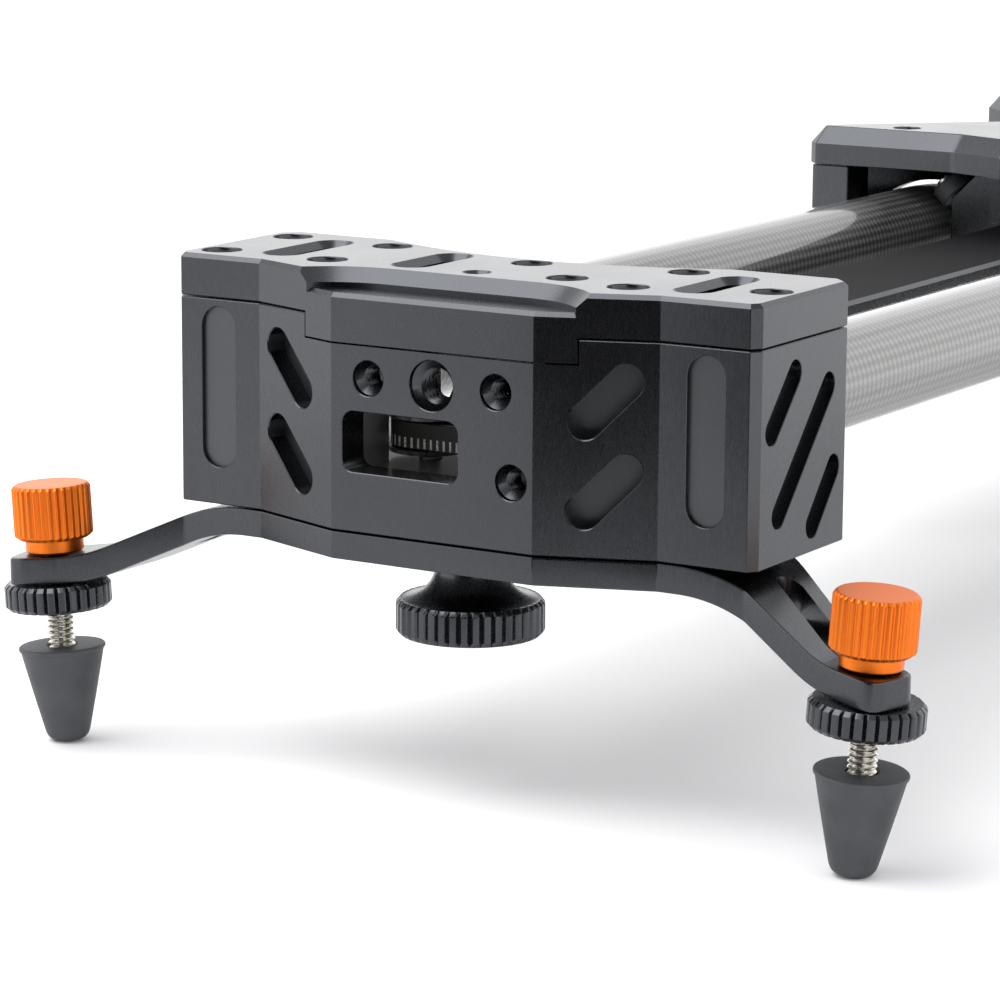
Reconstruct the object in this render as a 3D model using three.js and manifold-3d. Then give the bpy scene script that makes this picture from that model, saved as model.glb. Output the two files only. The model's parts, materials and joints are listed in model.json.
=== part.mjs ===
// A camera slider: two carbon rails and a centre bar joined by two end blocks on screw feet.
// A roller carriage runs along the rails, beside a toothed belt that turns round four idlers.
// Millimetres, +Z up, rails along Y. The origin is on the floor, under the middle of the rails.
import * as THREE from "three";
import { mergeVertices } from "three/addons/utils/BufferGeometryUtils.js";
import Module from "manifold-3d";

const wasm = await Module();
wasm.setup();

// ---------------------------------------------------------------- driving dimensions
const LENGTH = 800; // front face to rear face
const LIFT = 60; // floor to the underside of an end block
const GAP = 0.3; // clearance between pieces that meet
const PAST = 5; // how far a cutter runs past the face it opens
const FINE = 12; // sides of a small round hole
const ROUND = 14; // sides of a round piece
const RAIL_SIDES = 24;
const ARC = 4; // steps in a rounded corner or half a slot's end

// The end block: x across, y inwards from the front face, z up from the underside.
const BLOCK = {
  half: 75, // half the width
  depth: 55.2,
  seam: 47.8, // where the top plate begins
  top: 57.5,
  face: 26, // half the width of the flat front face
  shoulderX: 51.7,
  shoulderY: 9.3,
  corner: 1.7,
  cornerRise: 2.4,
  rearCorner: 3.7,
  recess: 45, // half the width of the curved recess in the rear, which takes the carriage's nose
  recessDepth: 10.9,
  wall: 8.7, // thickness of the front wall
};
const SKIRT = { half: 35, z: 42.2 }; // the top plate laps down over the front wall here
const POCKET = { ledge: 53.2, slope: 3.1, half: 18, y: 9.9, endX: 34.6 }; // step along the plate's front
const WINDOW = { left: -23.2, right: 6.9, low: 13.5, high: 27.2, corner: 2.75 };
const CENTRE_HOLE = { bore: 4.3, mouth: 5.85, places: [[0, 34.7]] }; // 3/8 in, in the front wall
const SMALL_HOLE = { bore: 2.6, mouth: 4.2, places: [[-16.4, 34.8], [16.4, 34.8], [20.4, 15.35]] };
const SLANT_SLOT = { near: 36.5, far: 45, r: 3.9, depth: 4.5, rise: 9.15, lows: [10.1, 29.7] };
const END_RECESS = { x: 63, low: 13.2, high: 41.2, r: 4.65, depth: 1 };
const GROOVE = { r: 3, depth: 2.2 };
const GROOVE_LINES = [[[16.7, 29.4], [27, 40.6]], [[20.4, 10.8], [43, 35.8]], [[36.5, 6], [46, 17.2]]];

// Threaded holes and slots in the top plate, in plan.
const TAPPED = { bore: 3.2, mouth: 4.9 };
const TAPPED_PLACES = [
  [-68, 18], [-67.6, 46.2], [-39, 18], [-39, 45], [2.6, 38.2],
  [21.2, 22.2], [39, 17.8], [39, 45], [68.2, 28.4],
];
const PIN_HOLE = { x: 0, y: 19, bore: 1.7, mouth: 3.4 };
const PLATE_SLOT = { half: 3.2, lip: 1.7 };
const PLATE_SLOTS = [
  { x: -53.4, near: 21.4, far: 42 },
  { x: -18.3, near: 21.1, far: 38.2 },
  { x: 53.4, near: 21.4, far: 41 },
];
const CHAMFER = 1;
const SLIVER = 0.002; // edges shorter than this are merged after a cut

const RAIL = { x: 50.33, z: 28.42, r: 12.5, wall: 1.5, seat: 14 };
const BAR = { half: 16.3, top: 33.4, bottom: 12.8, wall: 2.4, seat: 40.5 };
const CAVITY = { floor: 12.5, roof: 45, front: 23.5, back: 36, step: 24 };
const IDLER = { x: 17.8, y: 28, flange: 9.5, seat: 7.1, hub: 5, axle: 2.5 };
const IDLER_RISE = { lower: 14.6, flange: 1.2, boss: 26 };
const BELT = { r: 8.2, thick: 1.4, z: 16.1, height: 6 };
const AXLE_SEAT = 3.7; // how far an idler's axle stands in the block
const STRAND = IDLER.x + BELT.r; // the belt's two straight runs are this far from the middle

// The leg bar under an end block, and the foot that screws through each of its pads.
const LEG = { thick: 6.4, knee: 65.3, kneeBend: 8, ankle: 94.9, ankleBend: 4, tip: 120 };
const LEG_ROOT = { front: 73, rear: 62, rearY: 43.5, shoulder: 70, shoulderY: 39.4 };
const LEG_END = { frontX: 112, frontY: -8.6, rearX: 115, rearY: 5.2, corner: 4 };
const ARM_SLOT = { x: 75.5, y: 24.7, r: 3.25, floor: 0.2 };
const FOOT = { x: 106, y: 3.2, z: -15, tilt: 4 };
const LOCK = { y: 17, r: 16.75, top: -15.5, height: 8, neck: 8, shank: 2.9, reach: 7 };
const STUD = { r: 3.175, bottom: -38, top: 9.5 };
const KNOB = { r: 9.25, lip: 0.65, low: 3.5, top: 16.3, collar: 6.8 };
const WHEEL = { r: 12.5, bevel: 0.95, height: 6.3 };
const RUBBER = { top: -22.1, lip: 0.5, r: 10.2, bulge: -41.5, lowR: 5.4, tip: -44.9, tipR: 3 };

// The carriage, centred on the origin and hung on eight rollers.
const CARRIAGE = {
  half: 77.5,
  end: 69,
  nose: 76,
  noseHalf: 12,
  noseBase: 30,
  side: 61, // where the wing's outer edge ends
  waist: 38,
  bottom: 47.9,
  edge: 54,
  top: 59,
  corner: 3,
};
const CHEEK = { inner: 64.2, bottom: 9, web: 4, arch: 1.1 };
const SADDLE = {
  half: 18.2,
  slot: 17,
  roof: 33.9,
  wing: 35,
  wingHalf: 6, // half a wing's thickness along the rails
  wingFloor: 24,
  wingSlope: 74,
};
const ROLLER = { r: 5.5, width: 5, bore: 2, axle: 1.9, y: 52 };
const ROLLER_BOLT = { headR: 3, head: 1.2, upperReach: 7.5, lowerReach: 16 };
const CLAMP = { half: 15, wall: 3.6, slot: 1.1, floor: 15.5, beltTop: 22.5 };
const CAMERA_SCREW = { r: 4.76, height: 9, flange: 9, flangeHeight: 1.5, reach: 6 };
const BRAKE = { y: 54, r: 10, height: 12, stem: 4, neck: 8, neckHeight: 2 };

// ---------------------------------------------------------------- solids
function solid(geometry) {
  const bare = geometry.clone();
  bare.deleteAttribute("normal");
  bare.deleteAttribute("uv");
  const merged = mergeVertices(bare, 1e-4);
  return new wasm.Manifold(
    new wasm.Mesh({
      numProp: 3,
      vertProperties: merged.attributes.position.array,
      triVerts: new Uint32Array(merged.index.array),
    }),
  );
}

function geometryOf(manifold) {
  const mesh = manifold.asOriginal().simplify(SLIVER).getMesh();
  const geometry = new THREE.BufferGeometry();
  geometry.setAttribute("position", new THREE.BufferAttribute(mesh.vertProperties, 3));
  geometry.setIndex(new THREE.BufferAttribute(mesh.triVerts, 1));
  const flat = geometry.toNonIndexed();
  flat.computeVertexNormals();
  return flat;
}

function cut(base, cutters) {
  return geometryOf(cutters.reduce((left, tool) => left.subtract(solid(tool)), solid(base)));
}

function join(pieces) {
  const [first, ...rest] = pieces.map(solid);
  return geometryOf(rest.reduce((sum, piece) => sum.add(piece), first));
}

function common(a, b) {
  return geometryOf(solid(a).intersect(solid(b)));
}

function extrude(shape, depth, segments = ARC) {
  return new THREE.ExtrudeGeometry(shape, { depth, bevelEnabled: false, curveSegments: segments });
}

// An outline in plan, standing from one height to another.
function prism(shape, low, high, segments) {
  return extrude(shape, high - low, segments).translate(0, 0, low);
}

// An outline seen from the front, running inwards from one depth to another.
function prismAlongY(shape, near, far, segments) {
  return extrude(shape, far - near, segments)
    .rotateX(Math.PI / 2)
    .translate(0, far, 0);
}

// An outline in (y, z), running across from one side to another.
function prismAlongX(shape, left, right, segments) {
  const turn = new THREE.Matrix4().makeBasis(
    new THREE.Vector3(0, 1, 0),
    new THREE.Vector3(0, 0, 1),
    new THREE.Vector3(1, 0, 0),
  );
  return extrude(shape, right - left, segments)
    .applyMatrix4(turn)
    .translate(left, 0, 0);
}

// A bevelled outline in plan: chamfered by the same amount at its top and bottom edges.
function bevelledPrism(shape, low, high, rise, inset) {
  return new THREE.ExtrudeGeometry(shape, {
    depth: high - low - 2 * rise,
    bevelThickness: rise,
    bevelSize: inset,
    bevelOffset: -inset,
    bevelSegments: 1,
    curveSegments: ARC,
  }).translate(0, 0, low + rise);
}

// A closed profile of [radius, height] pairs turned about Z.
function turned(profile, sides = ROUND) {
  const points = profile.map(([radius, height]) => new THREE.Vector2(radius, height));
  return new THREE.LatheGeometry(points, sides).rotateX(Math.PI / 2);
}

function rod(radius, low, high, sides = FINE) {
  return turned([[0, low], [radius, low], [radius, high], [0, high]], sides);
}

function ring(inner, outer, low, high, sides = ROUND) {
  return turned([[inner, low], [outer, low], [outer, high], [inner, high], [inner, low]], sides);
}

function box(low, high) {
  const size = high.map((value, axis) => value - low[axis]);
  const centre = high.map((value, axis) => (value + low[axis]) / 2);
  return new THREE.BoxGeometry(...size).translate(...centre);
}

// ---------------------------------------------------------------- outlines
function polygon(points) {
  return new THREE.Shape(points.map(([x, y]) => new THREE.Vector2(x, y)));
}

// The right half of an outline, from its front to its rear, closed by its mirror image.
function mirrored(half) {
  const other = half.map(([x, y]) => [-x, y]).reverse();
  return polygon([...half, ...other]);
}

// A straight slot with round ends between two centres.
function slot([x1, y1], [x2, y2], radius) {
  const angle = Math.atan2(y2 - y1, x2 - x1);
  const shape = new THREE.Shape();
  shape.absarc(x1, y1, radius, angle + Math.PI / 2, angle + 1.5 * Math.PI, false);
  shape.absarc(x2, y2, radius, angle - Math.PI / 2, angle + Math.PI / 2, false);
  shape.closePath();
  return shape;
}

function roundedRect(x1, y1, x2, y2, radius) {
  const shape = new THREE.Shape();
  shape.absarc(x2 - radius, y1 + radius, radius, -Math.PI / 2, 0, false);
  shape.absarc(x2 - radius, y2 - radius, radius, 0, Math.PI / 2, false);
  shape.absarc(x1 + radius, y2 - radius, radius, Math.PI / 2, Math.PI, false);
  shape.absarc(x1 + radius, y1 + radius, radius, Math.PI, 1.5 * Math.PI, false);
  shape.closePath();
  return shape;
}

// The points of an outline with its corners rounded, as [x, y, radius] or [x, y] where sharp.
function rounded(corners) {
  const count = corners.length;
  const path = [];
  corners.forEach(([x, y, radius = 0], i) => {
    if (!radius) {
      path.push([x, y]);
      return;
    }
    const corner = new THREE.Vector2(x, y);
    const before = new THREE.Vector2(...corners[(i + count - 1) % count]).sub(corner).normalize();
    const after = new THREE.Vector2(...corners[(i + 1) % count]).sub(corner).normalize();
    const reach = radius / Math.tan(Math.acos(before.dot(after)) / 2);
    const curve = new THREE.QuadraticBezierCurve(
      corner.clone().addScaledVector(before, reach),
      corner,
      corner.clone().addScaledVector(after, reach),
    );
    path.push(...curve.getPoints(ARC).map((point) => [point.x, point.y]));
  });
  return path;
}

const zUp = new THREE.Vector3(0, 0, 1);

// Moves a piece made about Z to stand at a point along a direction.
function along(geometry, direction, point) {
  const turn = new THREE.Quaternion().setFromUnitVectors(zUp, direction.clone().normalize());
  return geometry.applyQuaternion(turn).translate(point.x, point.y, point.z);
}

// ---------------------------------------------------------------- end block
function blockOutline() {
  const { half, face, shoulderX, shoulderY, corner, cornerRise } = BLOCK;
  return mirrored([
    [face, 0],
    [shoulderX, shoulderY],
    [half - corner, shoulderY],
    [half, shoulderY + cornerRise],
    ...rearHalf(),
  ]);
}

// The right half of the rear outline, from the side face to the middle of the curved recess.
function rearHalf() {
  const { half, depth, rearCorner, recess, recessDepth } = BLOCK;
  const middle = depth - recessDepth;
  const curve = new THREE.QuadraticBezierCurve(
    new THREE.Vector2(recess, depth),
    new THREE.Vector2(recess / 2, middle),
    new THREE.Vector2(0, middle),
  );
  const recessPoints = curve.getPoints(6).slice(0, -1);
  return [
    [half, depth - rearCorner],
    [half - rearCorner, depth],
    ...recessPoints.map((point) => [point.x, point.y]),
  ];
}

// Countersunk holes through the front wall.
function frontHoles({ bore, mouth, places }) {
  const profile = [
    [0, -BLOCK.wall - PAST],
    [bore, -BLOCK.wall - PAST],
    [bore, bore - mouth],
    [mouth, 0],
    [mouth, PAST],
    [0, PAST],
  ];
  return places.map(([x, z]) => turned(profile, FINE).rotateX(Math.PI / 2).translate(x, 0, z));
}

// Two deep slots milled square into each slanted front face.
function slantedSlots() {
  const { near, far, r, depth, rise, lows } = SLANT_SLOT;
  const slant = Math.atan2(BLOCK.shoulderY, BLOCK.shoulderX - BLOCK.face);
  const reach = (x) => (x - BLOCK.face) / Math.cos(slant);
  const cutters = [];
  for (const side of [1, -1])
    for (const low of lows) {
      const shape = slot([side * reach(near), low], [side * reach(far), low + rise], r);
      cutters.push(
        prismAlongY(shape, -PAST, depth)
          .rotateZ(side * slant)
          .translate(side * BLOCK.face, 0, 0),
      );
    }
  return cutters;
}

// A shallow upright recess in each end of the front.
function endRecesses() {
  const { x: place, low, high, r, depth } = END_RECESS;
  return [place, -place].map((x) =>
    prismAlongY(slot([x, low], [x, high], r), -PAST, BLOCK.shoulderY + depth),
  );
}

// Three slanted grooves in each side face.
function sideGrooves() {
  const { r, depth } = GROOVE;
  return GROOVE_LINES.flatMap(([start, end]) => [
    prismAlongX(slot(start, end, r), BLOCK.half - depth, BLOCK.half + PAST),
    prismAlongX(slot(start, end, r), -BLOCK.half - PAST, -BLOCK.half + depth),
  ]);
}

// The open space behind the front wall, where the idlers turn and the bar is seated.
function beltCavity() {
  const { floor, roof, front, back, step } = CAVITY;
  const wellTop = BELT.z + BELT.height + IDLER_RISE.flange + 2 * GAP;
  const wells = [IDLER.x, -IDLER.x].map((x) =>
    rod(IDLER.flange + 2 * GAP, floor, wellTop, ROUND).translate(x, IDLER.y, 0),
  );
  return [
    ...wells,
    box([-front, BLOCK.wall, floor], [front, step + 1, roof]),
    box([-back, step, floor], [back, BLOCK.depth + PAST, roof]),
  ];
}

function railSockets() {
  return [RAIL.x, -RAIL.x].map((x) =>
    rod(RAIL.r + GAP, -BLOCK.depth - PAST, -RAIL.seat, RAIL_SIDES)
      .rotateX(Math.PI / 2)
      .translate(x, 0, RAIL.z),
  );
}

function endBlock() {
  const lapTop = SKIRT.z - GAP;
  const skirtRoom = box(
    [-SKIRT.half - GAP, -PAST, lapTop],
    [SKIRT.half + GAP, BLOCK.wall + GAP, BLOCK.seam + PAST],
  );
  const { left, right, low, high, corner } = WINDOW;
  const opening = roundedRect(left, low, right, high, corner);
  const lockThread = rod(LOCK.shank + GAP, -PAST, LOCK.reach + 1).translate(0, LOCK.y, 0);
  const axleSeats = [IDLER.x, -IDLER.x].flatMap((x) => [
    rod(IDLER.axle + GAP, CAVITY.floor - AXLE_SEAT - GAP, CAVITY.floor + 1).translate(x, IDLER.y, 0),
    rod(IDLER.axle + GAP, CAVITY.roof - 1, BLOCK.seam + PAST).translate(x, IDLER.y, 0),
  ]);
  return cut(prism(blockOutline(), 0, BLOCK.seam - GAP), [
    skirtRoom,
    ...beltCavity(),
    ...railSockets(),
    prismAlongY(opening, -PAST, BLOCK.wall + 1),
    ...frontHoles(CENTRE_HOLE),
    ...frontHoles(SMALL_HOLE),
    ...slantedSlots(),
    ...endRecesses(),
    ...sideGrooves(),
    lockThread,
    ...axleSeats,
  ]);
}

// ---------------------------------------------------------------- top plate
// The plate above the ledge: its front edge is scooped back between the slanted faces.
function scoopCurve() {
  const { face, shoulderX, shoulderY } = BLOCK;
  const slope = shoulderY / (shoulderX - face);
  const lip = new THREE.Vector2(POCKET.endX, (POCKET.endX - face) * slope);
  const middle = new THREE.Vector2(POCKET.half, POCKET.y);
  const bend = new THREE.Vector2((lip.x + middle.x) / 2 + 1.5, POCKET.y);
  return new THREE.QuadraticBezierCurve(middle, bend, lip);
}

function scoopedOutline() {
  const { half, shoulderX, shoulderY, corner, cornerRise } = BLOCK;
  return mirrored([
    ...scoopCurve().getPoints(5).map((point) => [point.x, point.y]),
    [shoulderX, shoulderY],
    [half - corner, shoulderY],
    [half, shoulderY + cornerRise],
    ...rearHalf(),
  ]);
}

// The step's wall leans back over its upper part: a void that widens upwards.
function scoopSlope() {
  const { slope } = POCKET;
  const curve = scoopCurve();
  const onwards = curve.getTangent(1).multiplyScalar(slope).add(curve.getPoint(1));
  const front = mirrored([
    ...curve.getPoints(5).map((point) => [point.x, point.y]),
    [onwards.x, onwards.y],
    [onwards.x, -slope - PAST],
  ]);
  return new THREE.ExtrudeGeometry(front, {
    depth: slope,
    bevelThickness: slope,
    bevelSize: slope,
    bevelSegments: 1,
  }).translate(0, 0, BLOCK.top);
}

function plateHole([x, y], { bore, mouth }) {
  const { top, seam } = BLOCK;
  const profile = [
    [0, seam - PAST],
    [bore, seam - PAST],
    [bore, top - (mouth - bore)],
    [mouth, top],
    [mouth, top + PAST],
    [0, top + PAST],
  ];
  return turned(profile, FINE).translate(x, y, 0);
}

// A slot through the plate with a wide chamfer round its mouth.
function plateSlot({ x, near, far }) {
  const { half, lip } = PLATE_SLOT;
  const narrow = prism(slot([x, near], [x, far], half), BLOCK.seam - PAST, BLOCK.top + PAST);
  const mouth = new THREE.ExtrudeGeometry(slot([x, near], [x, far], half), {
    depth: lip,
    bevelThickness: lip,
    bevelSize: lip,
    bevelSegments: 1,
    curveSegments: ARC,
  }).translate(0, 0, BLOCK.top);
  return [narrow, mouth];
}

function topPlate() {
  const { seam, top, wall } = BLOCK;
  const base = seam - 20;
  const lower = bevelledPrism(blockOutline(), base, POCKET.ledge, CHAMFER, CHAMFER);
  const upper = bevelledPrism(scoopedOutline(), base, top, CHAMFER, CHAMFER);
  const body = join([
    box([-BLOCK.half - PAST, -PAST, seam], [BLOCK.half + PAST, BLOCK.depth + PAST, top + PAST]),
    box([-SKIRT.half, -PAST, SKIRT.z], [SKIRT.half, wall, top]),
  ]);
  return cut(common(join([lower, upper]), body), [
    ...TAPPED_PLACES.map((place) => plateHole(place, TAPPED)),
    plateHole([PIN_HOLE.x, PIN_HOLE.y], PIN_HOLE),
    ...PLATE_SLOTS.flatMap(plateSlot),
    scoopSlope(),
  ]);
}

// ---------------------------------------------------------------- leg bar
// The bent strip seen from the front: level under the block, down each arm, then the tilted pads.
function legProfile() {
  const tilt = THREE.MathUtils.degToRad(FOOT.tilt);
  const mid = -GAP - LEG.thick / 2;
  const padMid = FOOT.z - LEG.thick / 2 / Math.cos(tilt);
  const padAt = (x) => new THREE.Vector2(x, padMid + (FOOT.x - x) * Math.tan(tilt));
  const knee = new THREE.Vector2(LEG.knee, mid);
  const ankle = padAt(LEG.ankle);
  const tip = padAt(LEG.tip);
  const slope = ankle.clone().sub(knee).normalize();
  const pad = tip.clone().sub(ankle).normalize();
  const level = new THREE.Vector2(1, 0);
  const bendAt = (corner, before, after, reach) =>
    new THREE.QuadraticBezierCurve(
      corner.clone().addScaledVector(before, -reach),
      corner,
      corner.clone().addScaledVector(after, reach),
    ).getPoints(6);
  const centre = [
    new THREE.Vector2(0, mid),
    ...bendAt(knee, level, slope, LEG.kneeBend),
    ...bendAt(ankle, slope, pad, LEG.ankleBend),
    tip,
  ];
  const edge = (side) =>
    centre.map((point, i) => {
      const ahead = centre[Math.min(i + 1, centre.length - 1)];
      const behind = centre[Math.max(i - 1, 0)];
      const run = ahead.clone().sub(behind).normalize();
      return [point.x - (run.y * side * LEG.thick) / 2, point.y + (run.x * side * LEG.thick) / 2];
    });
  const half = [...edge(1).slice(1), ...edge(-1).slice(1).reverse()];
  return mirrored(half);
}

function legOutline() {
  const { front, rear, rearY, shoulder, shoulderY } = LEG_ROOT;
  const { frontX, frontY, rearX, rearY: endY, corner } = LEG_END;
  return mirrored(
    rounded([
      [BLOCK.face, 0],
      [BLOCK.shoulderX, BLOCK.shoulderY],
      [front, BLOCK.shoulderY],
      [frontX, frontY, corner],
      [rearX, endY, corner],
      [shoulder, shoulderY],
      [rear, rearY],
    ]),
  );
}

// The frame of a foot: its origin is the middle of a pad's upper face, and +Z runs up the stud.
function atFoot(geometry, side) {
  return geometry
    .rotateY(THREE.MathUtils.degToRad(FOOT.tilt * side))
    .translate(FOOT.x * side, FOOT.y, FOOT.z);
}

// A slot milled nearly level with the pad, which breaks through the arm above it.
function armSlot(side) {
  const { x, y, r, floor } = ARM_SLOT;
  const shape = slot([side * (x - FOOT.x), y - FOOT.y], [0, 0], r);
  return atFoot(prism(shape, floor, -FOOT.z + PAST), side);
}

function legBar() {
  const below = 3 * LEG.thick;
  const bent = prismAlongY(legProfile(), LEG_END.frontY - PAST, LEG_ROOT.rearY + PAST);
  const plan = prism(legOutline(), FOOT.z - below, PAST);
  const studHoles = [1, -1].map((side) => atFoot(rod(STUD.r + GAP, -below, PAST), side));
  const lockHole = rod(LOCK.shank + GAP, -below, PAST).translate(0, LOCK.y, 0);
  return cut(common(bent, plan), [armSlot(1), armSlot(-1), ...studHoles, lockHole]);
}

// ---------------------------------------------------------------- knobs and feet
function lockKnob() {
  const { r, top, height, neck, shank, reach } = LOCK;
  const bottom = top - height;
  const under = -GAP - LEG.thick - GAP;
  return turned([
    [0, bottom],
    [r - 1, bottom],
    [r, bottom + 1],
    [r, top - 1],
    [r - 1, top],
    [neck + 2, top + 1.5],
    [neck, top + 5],
    [neck, under],
    [shank, under],
    [shank, reach],
    [0, reach],
  ]);
}

// The knurled head of a foot screw, fixed on the top of its stud.
function footKnob() {
  const { r, lip, low, top, collar } = KNOB;
  const bore = STUD.r + GAP;
  const boreTop = STUD.top + GAP;
  return turned([
    [0, boreTop], [bore, boreTop], [bore, GAP], [collar, GAP], [collar, low],
    [r - lip, low], [r, low + lip], [r, top - lip], [r - lip, top], [0, top],
  ]);
}

function thumbwheel() {
  const { r, bevel, height } = WHEEL;
  const top = -LEG.thick - GAP;
  const bottom = top - height;
  const bore = STUD.r + GAP;
  return turned([
    [bore, bottom], [r - bevel, bottom], [r, bottom + bevel],
    [r, top - bevel], [r - bevel, top], [bore, top], [bore, bottom],
  ]);
}

const stud = () => rod(STUD.r, STUD.bottom, STUD.top);

// A cone that tapers to a rounded tip, with a thin rim round its top.
function rubberFoot() {
  const { top, lip, r, bulge, lowR, tip, tipR } = RUBBER;
  const hollow = STUD.r + GAP;
  const seat = STUD.bottom - GAP;
  const shoulder = (bulge + tip) / 2;
  return turned([
    [0, tip], [tipR, tip], [lowR - lip, shoulder], [lowR, bulge], [r - lip, top - 3 * lip],
    [r, top - lip], [r - lip, top], [hollow, top], [hollow, seat], [0, seat],
  ]);
}

// ---------------------------------------------------------------- belt drive
function idler() {
  const { flange, seat, hub, axle } = IDLER;
  const low = IDLER_RISE.lower;
  const beltLow = BELT.z - GAP;
  const beltHigh = BELT.z + BELT.height + GAP;
  const top = beltHigh + IDLER_RISE.flange;
  const bore = axle + 0.1;
  return turned([
    [bore, low], [flange, low], [flange, beltLow], [seat, beltLow], [seat, beltHigh],
    [flange, beltHigh], [flange, top], [hub, top], [hub, IDLER_RISE.boss],
    [bore, IDLER_RISE.boss], [bore, low],
  ]);
}

const idlerAxle = () => rod(IDLER.axle, CAVITY.floor - AXLE_SEAT, BLOCK.seam - 1, ROUND);

function belt() {
  const half = STRAND;
  const end = LENGTH / 2 - IDLER.y + BELT.r;
  const band = (inset) =>
    roundedRect(-half + inset, -end + inset, half - inset, end - inset, BELT.r - inset);
  const low = LIFT + BELT.z;
  const outer = prism(band(-BELT.thick / 2), low, low + BELT.height);
  const inner = prism(band(BELT.thick / 2), low - PAST, low + BELT.height + PAST);
  return cut(outer, [inner]);
}

// ---------------------------------------------------------------- rails and bar
function rail() {
  const half = LENGTH / 2 - RAIL.seat - GAP;
  return ring(RAIL.r - RAIL.wall, RAIL.r, -half, half, RAIL_SIDES).rotateX(Math.PI / 2);
}

// A box section with its upper corners broken.
function centreBar() {
  const { half, top, bottom, wall } = BAR;
  const run = LENGTH / 2 - BAR.seat;
  const section = mirrored([[half, bottom], [half, top - CHAMFER], [half - CHAMFER, top]]);
  const hollow = roundedRect(-half + wall, bottom + wall, half - wall, top - wall, 1);
  return cut(prismAlongY(section, -run, run), [prismAlongY(hollow, -run - 1, run + 1, 2)]);
}

// ---------------------------------------------------------------- carriage
// A wide wing at each end, tapering to a narrow waist.
function carriageOutline() {
  const { half, end, nose, noseHalf, noseBase, side, waist, corner } = CARRIAGE;
  const turnIn = side - (half - waist);
  const quarter = [
    [noseHalf, -nose],
    [noseBase, -end],
    [half - corner, -end],
    [half, -end + corner],
    [half, -side],
    [waist, -turnIn],
  ];
  const farther = quarter.map(([x, y]) => [x, -y]).reverse();
  return mirrored([...quarter, ...farther]);
}

function carriagePlate() {
  const { bottom, edge, top } = CARRIAGE;
  const rise = top - edge;
  const slab = bevelledPrism(carriageOutline(), bottom - rise, top, rise, 4);
  const keep = box([-CARRIAGE.half, -CARRIAGE.nose, bottom], [CARRIAGE.half, CARRIAGE.nose, top + PAST]);
  const stemHole = rod(BRAKE.stem + GAP, bottom - PAST, top + PAST);
  const screwHole = rod(CAMERA_SCREW.r + GAP, bottom - PAST, top + PAST);
  return cut(common(slab, keep), [stemHole.translate(0, BRAKE.y, 0), screwHole]);
}

// The wall at a wing's outer corner, outside the rail.
function cheek() {
  const { half, end, side, waist } = CARRIAGE;
  const outer = half - 1;
  const wall = polygon(
    rounded([
      [CHEEK.inner, -end + 1],
      [outer, -end + 1, 2],
      [outer, -side],
      [CHEEK.inner, outer - CHEEK.inner - side],
    ]),
  );
  // a web runs on from the wall, arched over the rail, under the plate's slanted edge
  const tip = waist + 1;
  const back = CHEEK.web * Math.SQRT2;
  const web = polygon([
    [outer, -side],
    [tip, outer - tip - side],
    [tip, outer - tip - side - back],
    [CHEEK.inner + 1, outer - CHEEK.inner - 1 - side - back],
  ]);
  const top = CARRIAGE.bottom - GAP;
  const room = rod(RAIL.r + CHEEK.arch, -end, end, RAIL_SIDES).rotateX(Math.PI / 2);
  const arch = cut(prism(web, RAIL.z, top), [room.translate(RAIL.x, 0, RAIL.z)]);
  return join([prism(wall, CHEEK.bottom, top), arch]);
}

function rollerPlaces() {
  const places = [];
  for (const end of [1, -1])
    for (const side of [1, -1])
      for (const level of [1, -1]) {
        const out = new THREE.Vector3(-side, 0, level).normalize();
        const centre = new THREE.Vector3(RAIL.x * side, ROLLER.y * end, RAIL.z);
        centre.addScaledVector(out, RAIL.r + ROLLER.r + GAP);
        const inwards = new THREE.Vector3(-side, 0, -level).normalize();
        places.push({ end, side, level, centre, inwards });
      }
  return places;
}

const roller = () =>
  ring(ROLLER.bore, ROLLER.r, -ROLLER.width / 2, ROLLER.width / 2);

// How far a bolt runs from its roller's middle into the saddle, by the roller's level.
const boltReach = (level) => (level > 0 ? ROLLER_BOLT.upperReach : ROLLER_BOLT.lowerReach);

// A bolt whose head is outside the roller and whose end is held in the saddle.
function rollerAxle(level) {
  const { axle, width } = ROLLER;
  const { headR, head } = ROLLER_BOLT;
  const face = -width / 2 - GAP;
  const low = face - head;
  const reach = boltReach(level);
  return turned([[0, low], [headR, low], [headR, face], [axle, face], [axle, reach], [0, reach]]);
}

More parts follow.
